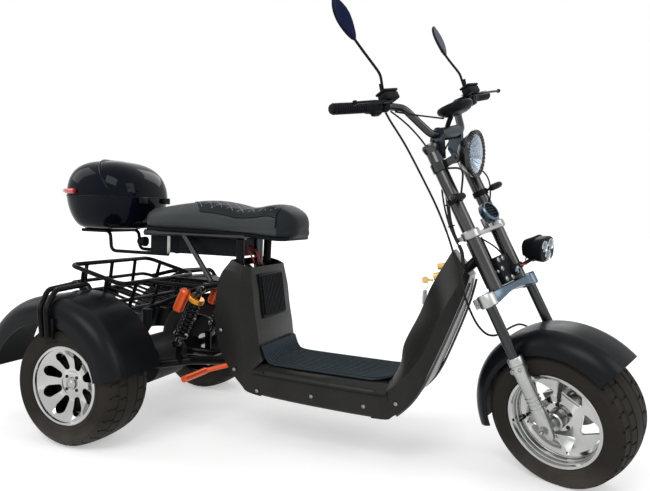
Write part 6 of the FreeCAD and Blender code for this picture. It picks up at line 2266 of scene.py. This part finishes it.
@dataclass
class Dash:
    """The leaf-shaped display on its stalk, and the fork's cables with their ties."""

    at: Point = (0.100, 0.006, 1.018)
    length: float = 0.112
    width: float = 0.124
    lean: float = 7.0

    def build(self) -> None:
        """Build the display, its stalk, the cables and their ties."""
        place = STEERED @ Matrix.Translation(self.at) @ Matrix.Rotation(
            math.radians(self.lean), 4, "Y")
        rings = [squircle((0.004 * (1 - share), 0, z), self.length / 2 * share,
                          self.width / 2 * share, 2.3, 40)
                 for z, share in ((0.000, 0.62), (0.004, 0.78), (0.014, 0.97), (0.020, 1.0),
                                  (0.026, 0.99), (0.031, 0.93))]
        pod = loft(rings, (True, True))
        pod.choose(lambda place, normal: normal.z > 0.98).inset(0.006, -0.002).done()
        pod.bevel(0.001, 2)
        pod.deliver("display_pod", BLACK_PLASTIC, place, ("display",), 32)
        glass = loft([squircle((0, 0, z), self.length / 2 * 0.76, self.width / 2 * 0.78, 2.3, 40)
                      for z in (0.0285, 0.0312)], (True, True)).bevel(0.0008, 2)
        glass.deliver("display_glass", BOX_BLACK_PAINTED_SKY, place)
        stalk = Piece.tube([(0.044, 0, 0.992), (0.060, 0, 1.008), (0.078, 0.002, 1.020)],
                           0.0085, 16)
        stalk.deliver("display_stalk", BLACK_PAINT, STEERED)
        lines = (
            ([(0.016, -0.205, 1.090), (0.006, -0.150, 1.060), (0.004, -0.110, 1.010),
              (-0.014, -0.060, 0.960), (-0.022, -0.040, 0.900)], 0.0032),
            ([(0.016, 0.205, 1.092), (0.004, 0.185, 1.040), (-0.010, 0.110, 0.985),
              (-0.020, 0.020, 0.940), (-0.024, -0.030, 0.890)], 0.0032),
            ([(0.025, -0.060, 0.864), (0.034, -0.030, 0.858), (0.030, 0.010, 0.852),
              (0.010, 0.020, 0.826), (-0.010, 0.010, 0.790), (-0.030, -0.010, 0.740)], 0.0034),
            ([(-0.032, -0.060, 0.814), (-0.060, -0.064, 0.740), (-0.075, -0.060, 0.667),
              (-0.070, -0.050, 0.610)], 0.0030),
            ([(0.030, 0.060, 0.866), (0.052, 0.100, 0.820), (0.046, 0.104, 0.770),
              (0.030, 0.080, 0.720), (0.034, 0.030, 0.690)], 0.0026),
            ([(0.020, -0.190, 1.086), (0.040, -0.150, 1.060), (0.060, -0.080, 1.036),
              (0.070, -0.030, 1.020)], 0.0028),
            ([(0.014, 0.030, 0.540), (0.020, 0.010, 0.570), (0.006, -0.010, 0.600),
              (-0.010, -0.020, 0.622)], 0.0030))
        cables = [Piece.tube(points, radius, 10) for points, radius in lines]
        joined(cables).deliver("fork_cables", CABLE, STEERED)
        clips = [Piece.hoop(0.0105, 0.0020, at, axis) for at, axis in (
            ((-0.013, -0.046, 0.872), (0, 0, 1)), ((-0.036, -0.060, 0.758), (0.3, 0, 1)),
            ((-0.058, -0.062, 0.690), (0.2, 0, 1)))]
        joined(clips).deliver("cable_ties", BLACK_PLASTIC, STEERED)


# ------------------------------------------------------------------ rear end
@dataclass
class Shock:
    """One coil-over damper with a gold collar and an orange reservoir."""

    side: Side
    foot: tuple[float, float] = (0.188, 0.312)
    head: tuple[float, float] = (0.292, 0.530)
    y: float = 0.122
    coil: float = 0.0245
    wire: float = 0.0042
    turns: int = 8

    def build(self) -> None:
        """Build the damper's parts."""
        word = self.side.word
        y = self.side.value * self.y
        foot = Vector((self.foot[0], y, self.foot[1]))
        head = Vector((self.head[0], y, self.head[1]))
        length = (head - foot).length
        up = (head - foot).normalized()
        across = Vector((0, 1, 0))
        place = framed(up.cross(across) * -1, across * -1, up, foot)
        mount = CHASSIS @ place
        replaced = ("shock_absorbers",) if self.side is Side.RIGHT else ()
        core = Piece.turned([(0, 0.005), (0.010, 0.005), (0.010, 0.030), (0.022, 0.034),
                             (0.029, 0.040), (0.029, 0.046), (0.014, 0.047), (0.014, 0.13),
                             (0.0075, 0.131), (0.0075, length - 0.050), (0.012, length - 0.030),
                             (0.012, length - 0.006), (0, length - 0.006)], 40)
        for z in (0.0, length):
            eye = Piece.rod(0.0138, (0, -0.014, z), (0, 0.014, z), 32).bevel(0.002, 2)
            core.join(eye, Piece.rod(0.0068, (0, -0.019, z), (0, 0.019, z), 6))
        core.deliver(f"shock_core_{word}", DARK_TUBE, mount, replaced, 32)
        low, high = 0.048, length - 0.054
        steps = self.turns * 10
        helix = [(self.coil * math.cos(2 * math.pi * i / 10), self.coil * math.sin(
            2 * math.pi * i / 10), low + (high - low) * i / steps) for i in range(steps + 1)]
        Piece.tube(helix, self.wire, 12).deliver(
            f"shock_coil_{word}", BLACK_PAINT, mount, (), 60)
        collar = Piece.turned([(0.013, length - 0.053), (0.029, length - 0.053),
                               (0.0315, length - 0.050), (0.0315, length - 0.046),
                               (0.0290, length - 0.044), (0.0290, length - 0.041),
                               (0.0310, length - 0.039), (0.0290, length - 0.034),
                               (0.013, length - 0.034)], 40, closed=True)
        collar.deliver(f"shock_collar_{word}", GOLD_ALLOY, mount)
        can = Piece.turned([(0, -0.002), (0.016, -0.002), (0.021, 0.004), (0.021, 0.012),
                            (0.0195, 0.013), (0.0195, 0.016), (0.021, 0.017), (0.021, 0.070),
                            (0.0195, 0.071), (0.0195, 0.074), (0.021, 0.075), (0.021, 0.084),
                            (0.016, 0.091), (0, 0.091)], 40)
        back = Vector((-up.z, 0, up.x))
        rear = place.to_3x3().inverted() @ back
        shift = Matrix.Translation(Vector((0, 0, length - 0.122)) + rear * 0.056)
        can.moved(shift)
        can.deliver(f"shock_reservoir_{word}", ORANGE_ALLOY, mount, (), 32)
        link = Piece.rod(0.006, (0, 0, length - 0.044),
                         Vector((0, 0, length - 0.044)) + rear * 0.056, 20)
        link.deliver(f"shock_link_{word}", ORANGE_ALLOY, mount)


@dataclass
class ControllerTrim:
    """The grey strip and knob of the case under the seat, and the wiring."""

    def build(self) -> None:
        """Build the case's trim and the wires near the seat post."""
        straps = [Piece.block((0.014, 0.003, 0.078), (0.138, y, 0.698)).bevel(0.001, 2)
                  for y in (-0.1145, 0.1145)]
        joined(straps).deliver("case_straps", GREY_STEEL, CHASSIS)
        knob = Piece.turned([(0, 0.036), (0.012, 0.036), (0.016, 0.032), (0.018, 0.024),
                             (0.018, 0.012), (0.020, 0.010), (0.020, 0.0), (0, 0.0)], 32)
        knob.moved(facing((-1, 0, 0), (-0.012, -0.060, 0.698)))
        knob.deliver("case_knob", BLACK_PLASTIC, CHASSIS)
        wires = [Piece.tube(points, 0.0034, 10) for points in (
            [(0.440, -0.050, 0.700), (0.470, -0.080, 0.690), (0.486, -0.070, 0.660),
             (0.476, -0.040, 0.630)],
            [(0.440, -0.020, 0.702), (0.480, -0.050, 0.698), (0.500, -0.045, 0.668),
             (0.486, -0.015, 0.632)])]
        joined(wires).deliver("red_wires", RED_WIRE, CHASSIS)


@dataclass
class Ignition:
    """Key, bow and fob in the lock on the shield."""

    lock: Point = (1.144, 0.060, 0.610)
    fob: Point = (1.112, 0.060, 0.548)

    def build(self) -> None:
        """Hang the key and its fob."""
        lock = Vector(self.lock)
        key = Piece.block((0.022, 0.0025, 0.009), lock + Vector((-0.014, 0, 0))).bevel(0.0008, 2)
        bow = Piece.rod(0.0125, lock + Vector((-0.032, -0.002, 0)),
                        lock + Vector((-0.032, 0.002, 0)), 32).bevel(0.001, 2)
        key.join(bow)
        key.deliver("key", BRASS, CHASSIS)
        ring = Piece.hoop(0.013, 0.0011, lock + Vector((-0.034, 0, -0.020)), (0, 1, 0.2))
        ring.deliver("key_ring", GREY_STEEL, CHASSIS)
        fob = Piece.block((0.012, 0.030, 0.052), self.fob)
        fob.bevel(0.005, 3).deliver("key_fob", PALE_PLASTIC, CHASSIS)


# ------------------------------------------------------------------ stage
@dataclass
class Studio:
    """Pale floor, soft lights and the camera."""

    eye: Point = (1.604, -2.146, 0.842)
    turn: float = 21.8
    tilt: float = 3.1
    roll: float = 1.8
    lens: float = 34.7
    sensor: float = 36.0
    floor_colour: Colour = (0.80, 0.80, 0.80)
    floor_lift: float = 0.42
    fade_from: float = 2.0
    fade_to: float = 6.0
    room_level: float = 0.40

    def build(self) -> None:
        """Set the camera, the floor, the lamps and the world."""
        self._camera()
        self._floor()
        self._world()
        self._lamp("key_light", (0.6, -4.2, 4.6), (3.4, 2.4), 135.0)
        self._lamp("rear_light", (-4.0, -1.2, 3.4), (2.6, 2.6), 50.0)
        self._lamp("front_light", (4.6, -0.6, 3.2), (2.4, 2.4), 50.0)
        self._lamp("far_light", (0.4, 4.4, 3.6), (3.0, 2.0), 50.0)
        bpy.context.scene.view_settings.view_transform = "Standard"

    def _camera(self) -> None:
        """Aim the camera."""
        turn, tilt, roll = (math.radians(a) for a in (self.turn, self.tilt, self.roll))
        back = Vector((math.sin(turn) * math.cos(tilt), -math.cos(turn) * math.cos(tilt),
                       math.sin(tilt)))
        right = Vector((math.cos(turn), math.sin(turn), 0))
        up = back.cross(right)
        across = right * math.cos(roll) + up * math.sin(roll)
        upright = up * math.cos(roll) - right * math.sin(roll)
        data = bpy.data.cameras.new("camera")
        data.lens = self.lens
        data.sensor_width = self.sensor
        camera = bpy.data.objects.new("camera", data)
        bpy.context.scene.collection.objects.link(camera)
        camera.matrix_world = (Matrix.Translation(MACHINE @ Vector(self.eye))
                               @ framed(across, upright, back))
        bpy.context.scene.camera = camera

    def _floor(self) -> None:
        """Lay the pale floor, which fades into the white of the room far out."""
        bpy.ops.object.select_all(action="DESELECT")
        bpy.ops.mesh.primitive_plane_add(size=60.0)
        floor = bpy.context.object
        floor.name = "floor"
        material = bpy.data.materials.new("pale_floor")
        material.use_nodes = True
        tree = material.node_tree
        far = add_node(tree, "VectorMath", {0: add_node(tree, "TexCoord").outputs["Object"]},
                       operation="LENGTH")
        fade = add_node(tree, "MapRange", {
            "Value": far.outputs["Value"], "From Min": self.fade_from, "From Max": self.fade_to,
            "To Min": self.floor_lift, "To Max": 1.0})
        lift = add_node(tree, "Math", {0: self._seen(tree), 1: fade.outputs["Result"]},
                        operation="MULTIPLY")
        feed(tree, tree.nodes["Principled BSDF"], {
            "Base Color": (*self.floor_colour, 1.0), "Roughness": 0.9,
            "Specular IOR Level": 0.1, "Emission Color": (1, 1, 1, 1),
            "Emission Strength": lift.outputs[0]})
        floor.data.materials.append(material)

    def _world(self) -> None:
        """Fill the room with soft light, white where the camera or a reflection sees it."""
        world = bpy.data.worlds.new("studio")
        world.use_nodes = True
        bpy.context.scene.world = world
        tree = world.node_tree
        level = add_node(tree, "MapRange", {
            "Value": self._seen(tree), "To Min": self.room_level, "To Max": 1.0})
        feed(tree, tree.nodes["Background"], {
            "Strength": level.outputs["Result"], "Color": (1, 1, 1, 1)})

    @staticmethod
    def _seen(tree: bpy.types.NodeTree) -> bpy.types.NodeSocket:
        """Tell where the camera, a mirror or a pane of glass looks.

        Args:
            tree: the material's or the world's node tree.

        Returns:
            A socket that is 1 on such a ray.
        """
        rays = add_node(tree, "LightPath").outputs
        seen = rays["Is Camera Ray"]
        for label in ("Is Glossy Ray", "Is Transmission Ray"):
            seen = add_node(tree, "Math", {0: seen, 1: rays[label]},
                            operation="MAXIMUM").outputs[0]
        return seen

    @staticmethod
    def _lamp(name: str, at: Point, size: tuple[float, float], power: float) -> None:
        """Hang a soft area lamp that faces the machine's middle.

        Args:
            name: the lamp's name.
            at: its place, from the rear axle.
            size: its width and height.
            power: its power in watts.
        """
        data = bpy.data.lights.new(name, "AREA")
        data.shape = "RECTANGLE"
        data.size, data.size_y = size
        data.energy = power
        lamp = bpy.data.objects.new(name, data)
        bpy.context.scene.collection.objects.link(lamp)
        place = MACHINE @ Vector(at)
        aim = MACHINE @ Vector((0.75, 0, 0.6)) - place
        turn = aim.to_track_quat("-Z", "Y").to_matrix().to_4x4()
        lamp.matrix_world = Matrix.Translation(place) @ turn


# ------------------------------------------------------------------ carried-over pieces
@dataclass
class FramePieces:
    """The frame's own pieces, dressed in their finishes."""

    own: dict[str, Finish] = field(default_factory=lambda: {
        "handlebar": DARK_TUBE, "bar_clamp": SLATE_ALLOY, "seat_frame": DARK_TUBE,
        "fork_sleeve": SLEEVE, "body_sleeve": SLEEVE})

    def dress(self) -> None:
        """Give every CAD node its own finish or that of its slot."""
        finishes = {finish.slot: finish for finish in FINISHES}
        for part in frame["record"]["subparts"]:
            node = frame["nodes"][part["node"]]
            finish = self.own.get(part["node"], finishes[part["material_slot"]])
            material = finish.build()
            node.data.materials.clear()
            node.data.materials.append(material)
            log.info("dressed %s", part["node"])


def main() -> None:
    """Build the studio and every sub-assembly in order."""
    deselect()
    Studio().build()
    FramePieces().dress()
    for assembly in (RearWheel(Side.RIGHT), RearWheel(Side.LEFT), FrontWheel(), BodyShell(),
                     FloorMat(), Grille(), Basket(), Seat(), TopBox(), ForkLegs(), Headlight(),
                     HornAndSignals(), SpotLamp(), WiringBlock(), HandControls(), Mirrors(),
                     Dash(), Shock(Side.RIGHT), Shock(Side.LEFT), ControllerTrim(), Ignition()):
        assembly.build()


if __name__ == "__main__":
    main()
